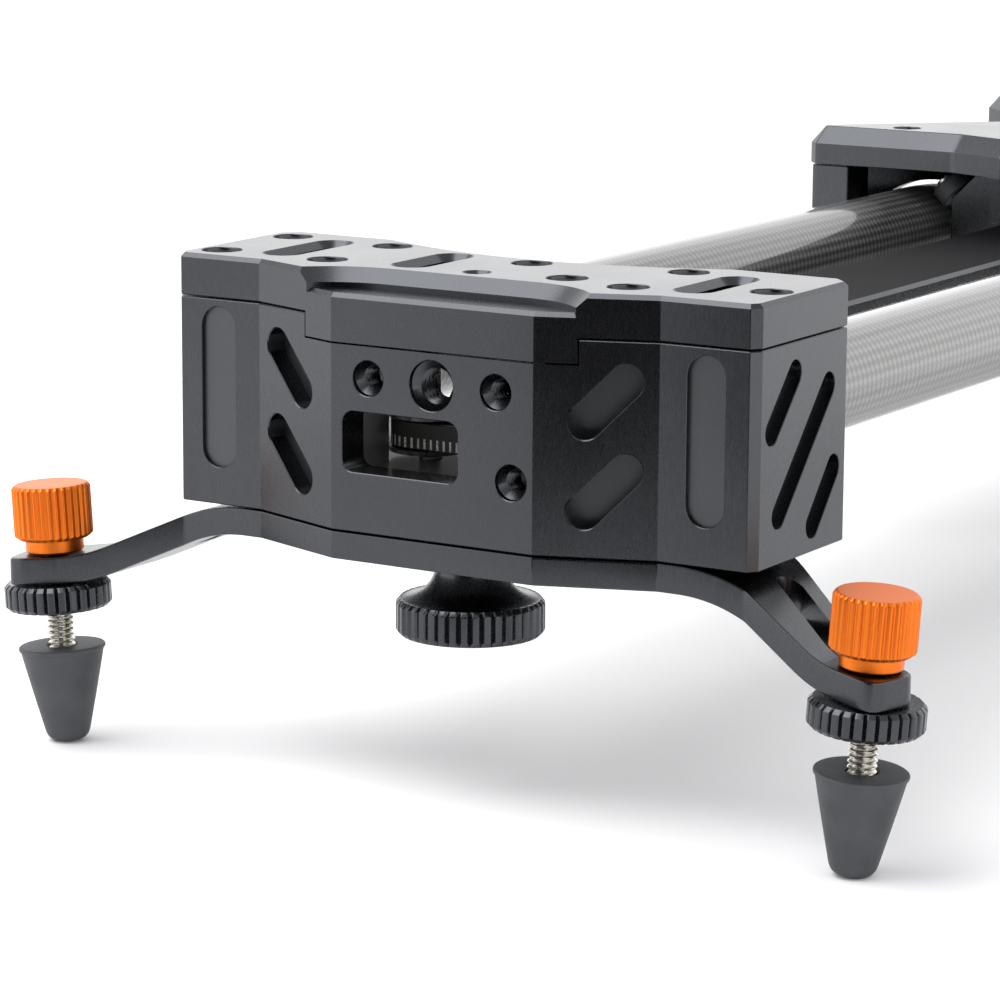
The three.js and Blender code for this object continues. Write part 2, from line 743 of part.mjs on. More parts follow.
function saddle() {
  const { half, slot: slotHalf, roof, wing, wingHalf, wingFloor, wingSlope } = SADDLE;
  const top = CARRIAGE.bottom - GAP;
  const spine = box([-half, -CARRIAGE.end + 1, roof], [half, CARRIAGE.end - 1, top]);
  const section = mirrored([
    [slotHalf, wingFloor],
    [wing, wingFloor],
    [wing, wingSlope - wing],
    [wingSlope - top, top],
  ]);
  const wings = [1, -1].map((end) =>
    prismAlongY(section, ROLLER.y * end - wingHalf, ROLLER.y * end + wingHalf),
  );
  const inner = STRAND - CLAMP.slot - CLAMP.wall;
  const outer = STRAND + CLAMP.slot + CLAMP.wall;
  const jaw = polygon([
    [half - 1, roof + CLAMP.wall], [half - 1, roof], [inner, roof - CLAMP.wall], [inner, CLAMP.floor],
    [STRAND - CLAMP.slot, CLAMP.floor], [STRAND - CLAMP.slot, CLAMP.beltTop],
    [STRAND + CLAMP.slot, CLAMP.beltTop], [STRAND + CLAMP.slot, CLAMP.floor],
    [outer, CLAMP.floor], [outer, roof], [outer - CLAMP.wall, roof + CLAMP.wall],
  ]);
  const clamp = prismAlongY(jaw, -CLAMP.half, CLAMP.half);
  const barRoom = box([-slotHalf, -CARRIAGE.end - PAST, 0], [slotHalf, CARRIAGE.end + PAST, roof]);
  const stemHole = rod(BRAKE.stem + GAP, roof - PAST, top + PAST);
  const seats = rollerPlaces().map(({ level, centre, inwards }) => {
    return along(rod(ROLLER.axle + GAP, 0, boltReach(level) + GAP), inwards, centre);
  });
  return cut(join([spine, ...wings, clamp]), [
    barRoom,
    stemHole.translate(0, BRAKE.y, 0),
    rod(CAMERA_SCREW.r + GAP, top - CAMERA_SCREW.reach - GAP, top + PAST),
    ...seats,
  ]);
}

// A threaded post with a round flange that the camera head sits on.
function cameraScrew() {
  const { r, height, flange, flangeHeight, reach } = CAMERA_SCREW;
  const { bottom, top } = CARRIAGE;
  const low = bottom - reach;
  const seat = top + GAP;
  const rim = seat + flangeHeight;
  return turned([
    [0, low], [r, low], [r, seat], [flange, seat], [flange, rim], [r, rim],
    [r, top + height - CHAMFER], [r - CHAMFER, top + height], [0, top + height],
  ]);
}

function brakeKnob() {
  const { r, height, stem, neck, neckHeight } = BRAKE;
  const low = BAR.top + GAP;
  const seat = CARRIAGE.top + GAP;
  const grip = seat + neckHeight;
  const { lip } = KNOB;
  return turned([
    [0, low], [stem, low], [stem, seat], [neck, seat], [neck, grip], [r - lip, grip],
    [r, grip + lip], [r, seat + height - lip], [r - lip, seat + height], [0, seat + height],
  ]);
}

// ---------------------------------------------------------------- materials
const finishes = {
  anodised: { color: 0x24262a, roughness: 0.42, metalness: 0.85 },
  orange: { color: 0xe06a14, roughness: 0.32, metalness: 0.9 },
  carbon: { color: 0x55585a, roughness: 0.35, metalness: 0.1 },
  rubber: { color: 0x3a3d40, roughness: 0.8, metalness: 0 },
  steel: { color: 0xb8b4ac, roughness: 0.3, metalness: 1 },
  beltRubber: { color: 0x1c1c1e, roughness: 0.75, metalness: 0 },
  pulley: { color: 0x8d9094, roughness: 0.35, metalness: 1 },
};

const slider = new THREE.Group();

function add(parent, name, geometry, finish) {
  const mesh = new THREE.Mesh(geometry, new THREE.MeshStandardMaterial(finishes[finish]));
  mesh.name = name;
  parent.add(mesh);
  return mesh;
}

// ---------------------------------------------------------------- assembly
function addFoot(parent, prefix, side) {
  const foot = new THREE.Group();
  foot.position.set(FOOT.x * side, FOOT.y, FOOT.z);
  foot.rotation.y = THREE.MathUtils.degToRad(FOOT.tilt * side);
  parent.add(foot);
  add(foot, `${prefix}_foot_knob`, footKnob(), "orange");
  add(foot, `${prefix}_thumbwheel`, thumbwheel(), "anodised");
  add(foot, `${prefix}_stud`, stud(), "steel");
  add(foot, `${prefix}_rubber_foot`, rubberFoot(), "rubber");
}

function addEnd(prefix, turn) {
  const end = new THREE.Group();
  end.position.set(0, (turn ? 1 : -1) * (LENGTH / 2), LIFT);
  end.rotation.z = turn ? Math.PI : 0;
  slider.add(end);
  add(end, `${prefix}_end_block`, endBlock(), "anodised");
  add(end, `${prefix}_top_plate`, topPlate(), "anodised");
  add(end, `${prefix}_leg_bar`, legBar(), "anodised");
  add(end, `${prefix}_lock_knob`, lockKnob(), "anodised").position.y = LOCK.y;
  for (const side of [1, -1]) {
    const hand = side * (turn ? -1 : 1) > 0 ? "right" : "left";
    addFoot(end, `${prefix}_${hand}`, side);
    const place = [IDLER.x * side, IDLER.y, 0];
    add(end, `${prefix}_${hand}_idler`, idler(), "pulley").position.set(...place);
    add(end, `${prefix}_${hand}_idler_axle`, idlerAxle(), "steel").position.set(...place);
  }
}

function addRails() {
  add(slider, "right_rail", rail(), "carbon").position.set(RAIL.x, 0, LIFT + RAIL.z);
  add(slider, "left_rail", rail(), "carbon").position.set(-RAIL.x, 0, LIFT + RAIL.z);
  add(slider, "centre_bar", centreBar(), "anodised").position.z = LIFT;
  add(slider, "belt", belt(), "beltRubber");
}

function addCarriage() {
  const carriage = new THREE.Group();
  carriage.position.z = LIFT;
  slider.add(carriage);
  add(carriage, "carriage_plate", carriagePlate(), "anodised");
  add(carriage, "carriage_saddle", saddle(), "anodised");
  add(carriage, "camera_screw", cameraScrew(), "steel");
  add(carriage, "brake_knob", brakeKnob(), "orange").position.y = BRAKE.y;
  for (const turn of [0, 1])
    for (const side of [1, -1]) {
      const hand = side * (turn ? -1 : 1) > 0 ? "right" : "left";
      const wall = side > 0 ? cheek() : mirrorX(cheek());
      const name = `carriage_${turn ? "rear" : "front"}_${hand}_cheek`;
      add(carriage, name, wall, "anodised").rotation.z = turn ? Math.PI : 0;
    }
  for (const { end, side, level, centre, inwards } of rollerPlaces()) {
    const corner = `${end > 0 ? "rear" : "front"}_${side > 0 ? "right" : "left"}`;
    const height = level > 0 ? "upper" : "lower";
    const wheel = along(roller(), inwards, centre);
    const bolt = along(rollerAxle(level), inwards, centre);
    add(carriage, `${corner}_${height}_roller`, wheel, "rubber");
    add(carriage, `${corner}_${height}_roller_bolt`, bolt, "steel");
  }
}

// The mirror image of a piece, with its faces still pointing out.
function mirrorX(geometry) {
  const image = mergeVertices(geometry.clone().scale(-1, 1, 1));
  const index = image.index.array;
  for (let i = 0; i < index.length; i += 3) [index[i], index[i + 1]] = [index[i + 1], index[i]];
  return image.toNonIndexed();
}

addEnd("front", false);
addEnd("rear", true);
addRails();
addCarriage();

export default slider;
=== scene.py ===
"""The looks of a camera slider, built round its CAD model.

Shapes are made in millimetres and become metres in finished(). An end's frame has its origin
under the middle of the outer face: x across, y inwards along the rails, z up. Both ends share
the same meshes, and the rear one is turned half round.
"""

import json
import math

import bmesh
import bpy
from mathutils import Matrix, Vector


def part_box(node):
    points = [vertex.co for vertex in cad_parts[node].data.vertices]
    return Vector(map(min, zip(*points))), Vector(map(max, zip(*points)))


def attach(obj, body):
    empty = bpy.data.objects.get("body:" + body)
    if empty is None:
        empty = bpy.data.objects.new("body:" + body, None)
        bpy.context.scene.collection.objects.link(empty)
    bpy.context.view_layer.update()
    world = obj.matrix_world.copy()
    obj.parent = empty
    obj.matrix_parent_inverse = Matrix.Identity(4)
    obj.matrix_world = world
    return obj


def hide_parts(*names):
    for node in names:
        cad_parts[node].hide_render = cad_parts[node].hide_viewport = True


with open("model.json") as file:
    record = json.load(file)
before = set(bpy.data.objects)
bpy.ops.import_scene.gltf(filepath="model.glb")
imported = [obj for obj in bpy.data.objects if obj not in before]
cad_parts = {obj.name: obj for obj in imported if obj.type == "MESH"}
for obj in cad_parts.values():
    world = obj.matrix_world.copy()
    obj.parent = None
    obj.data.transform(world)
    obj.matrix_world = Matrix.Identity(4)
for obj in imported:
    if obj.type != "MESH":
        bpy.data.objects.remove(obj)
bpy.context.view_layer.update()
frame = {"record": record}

# ------------------------------------------------------------ driving dimensions, in millimetres
MM = 0.001
GAP = 0.3  # clearance between pieces that meet
PAST = 5.0  # how far a cutter runs past the face it opens
ROUND = 72  # sides of a turned piece
ARC = 12  # steps in a rounded corner, or in half a slot's end
EDGE = 0.25  # the small broken edge on machined parts
RIDGE_SIDES = 12  # sides of a turned piece to each of its ridges

HALF, DEPTH, SEAM, TOP = 75.0, 55.2, 47.8, 57.5  # the end block and its top plate
FACE, SHOULDER_X, SHOULDER_Y = 26.0, 51.7, 9.3  # the slanted faces beside the flat front
SLANT = math.atan2(SHOULDER_Y, SHOULDER_X - FACE)
RECESS, RECESS_DEPTH = 45.0, 10.9  # the curved recess in the rear
WALL = 8.7  # thickness of the block's front wall
SKIRT_HALF, SKIRT_LOW = 35.0, 42.2  # the part of the top plate that laps down over the wall
LEDGE = 53.2  # the step in the top plate
CHAMFER = 1.0
SCOOP_SLOPE = 3.1  # height of the sloping wall above the step
SCOOP_HALF, SCOOP_Y, SCOOP_END = 18.0, 9.9, 34.6

WINDOW = (-23.2, 13.5, 6.9, 27.2)  # left, bottom, right, top
WINDOW_CORNER = 2.75
CAVITY_FLOOR, CAVITY_ROOF = 12.5, 45.0
CAVITY_FRONT, CAVITY_BACK, CAVITY_STEP = 23.5, 36.0, 24.0  # it widens at the step
CAVITY_END = 44.0  # where its painted light stops
LARGE_PITCH, SMALL_PITCH = 1.5875, 1.27  # 16 and 20 threads to the inch
# x, z, bore radius, mouth radius and pitch
FRONT_HOLES = ((0, 34.7, 4.3, 5.85, LARGE_PITCH), (-16.4, 34.8, 2.6, 4.2, SMALL_PITCH),
               (16.4, 34.8, 2.6, 4.2, SMALL_PITCH), (20.4, 15.35, 2.6, 4.2, SMALL_PITCH))
# x and y
PLATE_HOLES = ((-68, 18), (-67.6, 46.2), (-39, 18), (-39, 45), (2.6, 38.2),
               (21.2, 22.2), (39, 17.8), (39, 45), (68.2, 28.4))
# x, and y at the centres of both ends
PLATE_SLOTS = ((-53.4, 21.4, 42), (-18.3, 21.1, 38.2), (53.4, 21.4, 41))
SLOT_HALF, SLOT_LIP = 3.2, 1.7
# (y, z) at both ends of each groove in a side face
GROOVES = (((16.7, 29.4), (27, 40.6)), ((20.4, 10.8), (43, 35.8)), ((36.5, 6), (46, 17.2)))

RAIL_X, RAIL_Z, RAIL_R, RAIL_WALL, RAIL_SEAT = 50.33, 28.42, 12.5, 1.5, 14.0
BAR_HALF, BAR_TOP, BAR_BOTTOM, BAR_WALL = 16.3, 33.4, 12.8, 2.4
IDLER_X, IDLER_Y, FLANGE_R, IDLER_R, HUB_R, AXLE_R = 17.8, 28.0, 9.5, 7.1, 5.0, 2.5
FLANGE_LOW, FLANGE, IDLER_TOP = 14.6, 1.2, 26.0
BELT_R, BELT_THICK, BELT_Z, BELT_HEIGHT = 8.2, 1.4, 16.1, 6.0
TOOTH_PITCH, TOOTH, TOOTH_STEPS = 2.0, 0.3, 4  # the last is how many points there are to a tooth
STRAND = IDLER_X + BELT_R  # x of the belt's straight runs
TICK_PITCH = 1.7  # of the marks along the belt
WEAVE_PITCH = 2.3  # of the carbon's pattern along a rail
WEAVE_ROUND = 34  # repeats of the pattern round a rail

LEG = 6.4  # thickness of the leg bar
KNEE, ANKLE, TIP = 65.3, 94.9, 120.0
FOOT_X, FOOT_Y, FOOT_Z = 106.0, 3.2, -15.0
TILT = math.radians(4)  # of the pads and the feet, outwards
LOCK_Y, LOCK_R, LOCK_TOP, LOCK_BOTTOM, LOCK_SHANK = 17.0, 16.75, -15.5, -23.5, 2.9
STUD_R, STUD_LOW, STUD_HIGH = 3.175, -38.0, 9.5
KNOB_R, KNOB_LOW, KNOB_TOP, COLLAR_R = 9.25, 3.5, 16.3, 6.8
WHEEL_R, WHEEL = 12.5, 6.3

PLATE_LOW, PLATE_EDGE, PLATE_TOP = 47.9, 54.0, 59.0  # the carriage's plate
CARRIAGE_END, CARRIAGE_SIDE, NOSE = 69.0, 61.0, 76.0
WING, WAIST = 77.5, 38.0
CHEEK_X, CHEEK_LOW, WEB, ARCH = 64.2, 9.0, 4.0, 1.1
SADDLE_HALF, SADDLE_ROOF = 18.2, 33.9
ROLLER_R, ROLLER, ROLLER_BORE, ROLLER_Y = 5.5, 5.0, 2.0, 52.0
BOLT_R, UPPER_REACH, LOWER_REACH = 1.9, 7.5, 16.0
BRAKE_Y, BRAKE_R, BRAKE_STEM = 54.0, 10.0, 4.0
SCREW_R, SCREW_FLANGE = 4.76, 9.0


# ------------------------------------------------------------ outlines, as lists of (x, y)
def arc(x, y, radius, start, end, steps=ARC):
    angles = [start + (end - start) * i / steps for i in range(steps + 1)]
    return [(x + radius * math.cos(a), y + radius * math.sin(a)) for a in angles]


def curve(start, bend, end, steps=ARC):
    """A smooth turn from start to end, as a parabola whose tangents meet at bend."""
    points = []
    for i in range(steps + 1):
        t = i / steps
        weighted = list(zip(((1 - t) ** 2, 2 * t * (1 - t), t * t), (start, bend, end)))
        points.append(tuple(sum(weight * point[axis] for weight, point in weighted) for axis in (0, 1)))
    return points


def slot(start, end, radius):
    """A straight slot with round ends between two centres."""
    angle = math.atan2(end[1] - start[1], end[0] - start[0])
    near = arc(*start, radius, angle + math.pi / 2, angle + 1.5 * math.pi)
    far = arc(*end, radius, angle - math.pi / 2, angle + math.pi / 2)
    return near + far


def rounded(corners, steps=6):
    """A closed outline whose corners are (x, y, radius), or (x, y) where sharp."""
    path = []
    for i, (x, y, *radius) in enumerate(corners):
        corner = Vector((x, y))
        if not radius:
            path.append((x, y))
            continue
        before = (Vector(corners[i - 1][:2]) - corner).normalized()
        after = (Vector(corners[(i + 1) % len(corners)][:2]) - corner).normalized()
        reach = radius[0] / math.tan(before.angle(after) / 2)
        path += curve(corner + before * reach, corner, corner + after * reach, steps)
    return path


def rectangle(x1, y1, x2, y2, radius=0):
    corners = [(x1, y1), (x2, y1), (x2, y2), (x1, y2)]
    if not radius:
        return corners
    inner = ((x1 + radius, y1 + radius), (x2 - radius, y1 + radius),
             (x2 - radius, y2 - radius), (x1 + radius, y2 - radius))
    quarter = math.pi / 2
    return [point for i, (x, y) in enumerate(inner)
            for point in arc(x, y, radius, quarter * (i + 2), quarter * (i + 3))]


def mirrored(half):
    """The right half of an outline, front to rear, closed by its mirror image."""
    return list(half) + [(-x, *rest) for x, *rest in reversed(half)]


def inset(outline, amount):
    """The outline moved inwards, or outwards by a negative amount, with the corner radii it has."""
    result = []
    for i, (x, y, *radius) in enumerate(outline):
        here = Vector((x, y))
        before = (here - Vector(outline[i - 1][:2])).normalized()
        after = (Vector(outline[(i + 1) % len(outline)][:2]) - here).normalized()
        left = Vector((-before.y - after.y, before.x + after.x)).normalized()
        place = here + left * amount / left.dot(Vector((-before.y, before.x)))
        result.append((*place, *radius))
    return result


# ------------------------------------------------------------ solids, as meshes in millimetres
def solid(points, faces):
    mesh = bpy.data.meshes.new("shape")
    mesh.from_pydata(points, [], faces)
    return mesh


def loft(rings, closed=False):
    """A skin over rings of equally many points, capped at its ends, or joined into a loop."""
    count = len(rings[0])
    faces = []
    for lower in range(len(rings) - (not closed)):
        upper = (lower + 1) % len(rings)
        for i in range(count):
            j = (i + 1) % count
            faces.append((lower * count + i, lower * count + j, upper * count + j, upper * count + i))
    if not closed:
        last = (len(rings) - 1) * count
        faces.append(tuple(reversed(range(count))))
        faces.append(tuple(range(last, last + count)))
    return solid([point for ring in rings for point in ring], faces)


def stack(outline, levels):
    """An upright prism through levels of (height, inset), whose corners are as rounded() takes them."""
    rings = []
    for height, amount in levels:
        rings.append([(x, y, height) for x, y in rounded(inset(outline, amount))])
    return loft(rings)


def slab(outline, low, high, edge=0.0):
    """A prism with all its upper and lower edges broken by the same amount."""
    if not edge:
        return stack(outline, [(low, 0), (high, 0)])
    return stack(outline, [(low, edge), (low + edge, 0), (high - edge, 0), (high, edge)])


def pocket(outline, depth, lip=EDGE):
    """A cutter that sinks into the face at height 0, with a small flare at its mouth."""
    return stack(outline, [(-depth, 0), (-lip, 0), (0, -lip), (PAST, -lip)])


def box(low, high):
    return slab(rectangle(low[0], low[1], high[0], high[1]), low[2], high[2])


def turned(profile, sides=ROUND, closed=False, groove=None):
    """A profile of (radius, height), or (radius, height, depth of its grooves), turned about Z."""
    rings = []
    for radius, height, *depth in profile:
        ring = []
        for i in range(sides):
            angle = math.tau * i / sides
            r = radius - (depth[0] * groove(angle) if depth else 0)
            ring.append((r * math.cos(angle), r * math.sin(angle), height))
        rings.append(ring)
    return loft(rings, closed)


def rod(radius, low, high, edge=0.0, sides=ROUND):
    if not edge:
        return turned([(radius, low), (radius, high)], sides)
    narrow = radius - edge
    return turned([(narrow, low), (radius, low + edge), (radius, high - edge), (narrow, high)], sides)


def grooves(count, width):
    """Round a knob: 0 on a ridge and 1 in the middle of a groove that takes a share of the pitch."""
    def depth(angle):
        off = abs((angle * count / math.tau) % 1 - 0.5)
        return 0.5 + 0.5 * math.cos(math.tau * off / width) if off < width / 2 else 0.0
    return depth


def thread(radius, low, high, pitch, taper=0.6, sides=36, steps=6):
    """The rings of a screw thread, tapered over its last stretch at both ends."""
    depth = 0.55 * pitch
    count = round((high - low) / pitch * steps)
    rings = []
    for k in range(count + 1):
        height = low + (high - low) * k / count
        from_end = min(height - low, high - height)
        limit = radius if not taper else radius - depth * max(0.0, 1 - from_end / taper)
        ring = []
        for i in range(sides):
            phase = (height / pitch - i / sides) % 1
            flank = min(1.0, max(0.0, 1.3 - 2.6 * abs(phase - 0.5)))
            r = min(limit, radius - depth * (1 - flank))
            angle = math.tau * i / sides
            ring.append((r * math.cos(angle), r * math.sin(angle), height))
        rings.append(ring)
    return rings


def tapped_hole(bore, mouth, depth, pitch):
    """A cutter for a threaded hole whose steep-sided mouth is at height 0."""
    sunk = -1.2  # where the mouth's wall ends and a cone leads down to the thread
    rings = thread(bore + 0.2, -depth, sunk - mouth + bore, pitch, taper=0)
    for radius, height in ((mouth - 0.35, sunk), (mouth - 0.2, -0.2), (mouth, 0), (mouth, PAST)):
        rings.append(arc_ring(radius, height, len(rings[0])))
    return loft(rings)


def arc_ring(radius, height, sides):
    angles = [math.tau * i / sides for i in range(sides)]
    return [(radius * math.cos(a), radius * math.sin(a), height) for a in angles]


def moved(mesh, matrix):
    mesh.transform(matrix)
    return mesh


def shift(x, y, z):
    return Matrix.Translation((x, y, z))


# From a face's own frame, which is (across, up, outwards), to the end's frame.
ON_FRONT = Matrix.Rotation(math.pi / 2, 4, "X")
ON_RIGHT = shift(HALF, 0, 0) @ Matrix(((0, 0, 1, 0), (1, 0, 0, 0), (0, 1, 0, 0), (0, 0, 0, 1)))
ON_LEFT = Matrix.Rotation(math.pi, 4, "Z") @ ON_RIGHT


def modified(mesh, add_modifiers):
    """The mesh as its modifiers leave it."""
    holder = bpy.data.objects.new("holder", mesh)
    bpy.context.scene.collection.objects.link(holder)
    add_modifiers(holder)
    bpy.context.view_layer.update()
    graph = bpy.context.evaluated_depsgraph_get()
    result = bpy.data.meshes.new_from_object(holder.evaluated_get(graph))
    bpy.data.objects.remove(holder)
    return result


def triangulated(mesh):
    """Cut into triangles, because the boolean solver can tangle a large face with many holes."""
    shape = bmesh.new()
    shape.from_mesh(mesh)
    bmesh.ops.triangulate(shape, faces=shape.faces)
    shape.to_mesh(mesh)
    shape.free()
    return mesh


def combined(base, tools, operation):
    """One boolean for each tool."""
    helpers = [bpy.data.objects.new("tool", tool) for tool in tools]

    def add(holder):
        for helper in helpers:
            bpy.context.scene.collection.objects.link(helper)
            step = holder.modifiers.new("step", "BOOLEAN")
            step.object = helper
            step.operation = operation
            step.solver = "MANIFOLD"

    result = modified(base, add)
    for helper in helpers:
        bpy.data.objects.remove(helper)
    return result


def cut(base, tools):
    return combined(base, tools, "DIFFERENCE")


def join(base, tools):
    return combined(base, tools, "UNION")


def finished(mesh, finish, sharp=30.0):
    """The mesh in metres, with its material or materials, and smooth but for its sharp edges."""
    mesh.transform(Matrix.Scale(MM, 4))
    mesh.materials.clear()
    for material in finish if isinstance(finish, tuple) else (finish,):
        mesh.materials.append(material)
    mesh.polygons.foreach_set("use_smooth", [True] * len(mesh.polygons))
    mesh.set_sharp_from_angle(angle=math.radians(sharp))

    def add(holder):
        step = holder.modifiers.new("normals", "WEIGHTED_NORMAL")
        step.keep_sharp = True
        step.weight = 100

    return modified(mesh, add)


# ------------------------------------------------------------ materials
class Paint:
    """A material with its Principled shader, and short ways to add and feed nodes."""

    def __init__(self, name, values):
        self.material = bpy.data.materials.new(name)
        self.material.use_nodes = True
        self.tree = self.material.node_tree
        self.shader = self.tree.nodes["Principled BSDF"]
        self.feed(self.shader, values)
        self.place = self.node("ShaderNodeTexCoord", {}).outputs["Object"]

    def feed(self, node, values):
        for socket, value in values.items():
            if isinstance(value, bpy.types.NodeSocket):
                self.tree.links.new(value, node.inputs[socket])
            else:
                node.inputs[socket].default_value = value

    def node(self, kind, values, **settings):
        made = self.tree.nodes.new(kind)
        for setting, value in settings.items():
            setattr(made, setting, value)
        self.feed(made, values)
        return made

    def maths(self, operation, *values):
        return self.node("ShaderNodeMath", dict(enumerate(values)), operation=operation).outputs[0]

    def noise(self, scale, detail=3.0, stretch=(1, 1, 1)):
        """Noise from 0 to 1, with so many features to a metre along each axis."""
        place = self.node("ShaderNodeMapping", {"Vector": self.place, "Scale": stretch}).outputs[0]
        made = self.node("ShaderNodeTexNoise", {"Vector": place, "Scale": scale, "Detail": detail})
        return made.outputs["Fac"]

    def span(self, value, low, high, start=0.3, end=0.7):
        values = {"Value": value, "From Min": start, "From Max": end, "To Min": low, "To Max": high}
        return self.node("ShaderNodeMapRange", values).outputs[0]

    def blend(self, value, low, high, start=0.3, end=0.7):
        """A colour that goes from low to high as value does from start to end."""
        ramp = self.node("ShaderNodeValToRGB", {"Fac": value})
        for element, position, colour in zip(ramp.color_ramp.elements, (start, end), (low, high)):
            element.position = position
            element.color = (*colour, 1)
        return ramp.outputs["Color"]

    def bump(self, height, depth, strength=1.0):
        values = {"Height": height, "Distance": depth, "Strength": strength}
        return self.node("ShaderNodeBump", values).outputs["Normal"]


def anodised(name, low, high, roughness):
    """Dyed aluminium with a fine grain and upright brush marks."""
    paint = Paint(name, {"Metallic": 1.0})
    streaks = paint.noise(1.0, 2.0, (3600, 3600, 500))
    grain = paint.noise(4200, 2.0)
    clouds = paint.noise(38, 4.0)
    marks = paint.maths("ADD", paint.maths("MULTIPLY", streaks, 0.3), paint.maths("MULTIPLY", grain, 0.4))
    mottle = paint.maths("ADD", marks, paint.maths("MULTIPLY", clouds, 0.3))
    relief = paint.maths("ADD", paint.maths("MULTIPLY", streaks, 0.5), grain)
    paint.feed(paint.shader, {
        "Base Color": paint.blend(mottle, low, high, 0.35, 0.65),
        "Roughness": paint.span(mottle, roughness - 0.04, roughness + 0.06),
        "Normal": paint.bump(relief, 0.000003),
    })
    return paint.material


def carbon():
    """Woven tows under a clear coat."""
    paint = Paint("woven carbon", {"Metallic": 0.35, "Coat Weight": 1.0, "Coat Roughness": 0.07})
    axes = paint.node("ShaderNodeSeparateXYZ", {"Vector": paint.place}).outputs
    angle = paint.maths("ARCTAN2", axes["X"], axes["Z"])
    round_way = paint.maths("MULTIPLY", angle, WEAVE_ROUND / 2)
    along = paint.maths("MULTIPLY", axes["Y"], math.pi / (WEAVE_PITCH * MM))
    first = paint.maths("SINE", paint.maths("ADD", along, round_way))
    second = paint.maths("SINE", paint.maths("SUBTRACT", along, round_way))
    over = paint.maths("MULTIPLY", first, second)
    fibres = paint.noise(1.0, 2.0, (2500, 900, 2500))
    tows = paint.maths("ADD", over, paint.maths("MULTIPLY", fibres, 0.5))
    paint.feed(paint.shader, {
        "Base Color": paint.blend(tows, (0.045, 0.046, 0.045), (0.15, 0.15, 0.143), 0.0, 0.75),
        "Roughness": paint.span(over, 0.3, 0.42, -1.0, 1.0),
        "Normal": paint.bump(over, 0.00003, 0.6),
    })
    return paint.material


def rubber(name, low, high, roughness):
    """Matt moulded rubber with a faint bloom."""
    paint = Paint(name, {"Specular IOR Level": 0.45})
    bloom = paint.noise(130, 5.0)
    grain = paint.noise(3600, 3.0)
    paint.feed(paint.shader, {
        "Base Color": paint.blend(bloom, low, high),
        "Roughness": paint.span(grain, roughness - 0.07, roughness + 0.07),
        "Normal": paint.bump(grain, 0.00001),
    })
    return paint.material


def bright_metal(name, low, high, roughness):
    """Turned metal: fine rings round its axis, and a little staining."""
    paint = Paint(name, {"Metallic": 1.0})
    rings = paint.noise(1.0, 2.0, (120, 120, 6000))
    stains = paint.noise(210, 4.0)
    paint.feed(paint.shader, {
        "Base Color": paint.blend(stains, low, high),
        "Roughness": paint.span(rings, roughness - 0.06, roughness + 0.1),
        "Normal": paint.bump(rings, 0.000004),
    })
    return paint.material


def printed_belt():
    """Rubber, with plain pale ticks along the lower half of the outer face."""
    paint = Paint("belt", {"Roughness": 0.6})
    run = paint.node("ShaderNodeAttribute", {}, attribute_name="run").outputs["Fac"]
    height = paint.node("ShaderNodeAttribute", {}, attribute_name="height").outputs["Fac"]
    tick = paint.maths("LESS_THAN", paint.maths("PINGPONG", run, TICK_PITCH / 2), TICK_PITCH * 0.16)
    low = paint.maths("LESS_THAN", height, 0.42)
    high = paint.maths("GREATER_THAN", height, 0.04)
    worn = paint.span(paint.noise(1900, 3.0), 0.25, 1.0)
    mark = paint.maths("MULTIPLY", paint.maths("MULTIPLY", tick, worn), paint.maths("MULTIPLY", low, high))
    weave = paint.noise(1.0, 2.0, (1500, 1500, 5000))
    paint.feed(paint.shader, {
        "Base Color": paint.blend(mark, (0.014, 0.012, 0.011), (0.6, 0.57, 0.53), 0.0, 1.0),
        "Normal": paint.bump(weave, 0.00002),
    })
    return paint.material


def pale_floor():
    paint = Paint("pale floor", {"Specular IOR Level": 0.1, "Roughness": 0.8})
    tone = paint.blend(paint.noise(3.0, 4.0), (0.9, 0.9, 0.9), (0.93, 0.93, 0.93))
    paint.feed(paint.shader, {"Base Color": tone})
    return paint.material


BLACK = anodised("black anodised", (0.056, 0.058, 0.063), (0.070, 0.073, 0.079), 0.26)
# Much darker than the black anodising, for the centre bar's top: painted shade, with a rougher finish.
DULL_SHADED_BLACK = anodised("dull black painted shade", (0.005, 0.005, 0.006), (0.009, 0.009, 0.01), 0.75)
# For pocket walls and floors: rougher, as milled, and a lighter base colour that paints in the light they
# catch.
MILLED_LIT = anodised("milled pocket painted lighter", (0.075, 0.078, 0.083), (0.095, 0.098, 0.104), 0.44)
# A far lighter copy of the black anodising for the cavity's inside: painted light, as falls in through its
# open back.
CAVITY_LIGHT = anodised("cavity painted light", (0.45, 0.45, 0.45), (0.58, 0.58, 0.58), 0.42)
ORANGE = anodised("orange anodised", (0.68, 0.145, 0.016), (0.79, 0.195, 0.025), 0.4)
CARBON = carbon()
RUBBER = rubber("foot rubber", (0.028, 0.030, 0.034), (0.048, 0.051, 0.056), 0.55)
STEEL = bright_metal("steel", (0.5, 0.48, 0.44), (0.66, 0.63, 0.58), 0.24)
PULLEY = anodised("pulley", (0.12, 0.125, 0.13), (0.17, 0.175, 0.18), 0.28)
# Bright metal on the idlers' flange rims only: a painted highlight.
RIM_HIGHLIGHT = bright_metal("rim painted highlight", (0.6, 0.6, 0.6), (0.75, 0.75, 0.74), 0.2)
BELT = printed_belt()


# ------------------------------------------------------------ end block
def rear_half():
    """The rear outline's right half, from the side face to the middle of the curved recess."""
    corner = 3.7
    middle = DEPTH - RECESS_DEPTH
    recess = curve((RECESS, DEPTH), (RECESS / 2, middle), (0, middle), 30)
    return [(HALF, DEPTH - corner, 0.6), (HALF - corner, DEPTH, 0.6)] + recess[:-1]


def shoulder_half():
    corner, rise = 1.7, 2.4
    return [(SHOULDER_X, SHOULDER_Y, 0.8), (HALF - corner, SHOULDER_Y, 0.4), (HALF, SHOULDER_Y + rise, 0.4)]


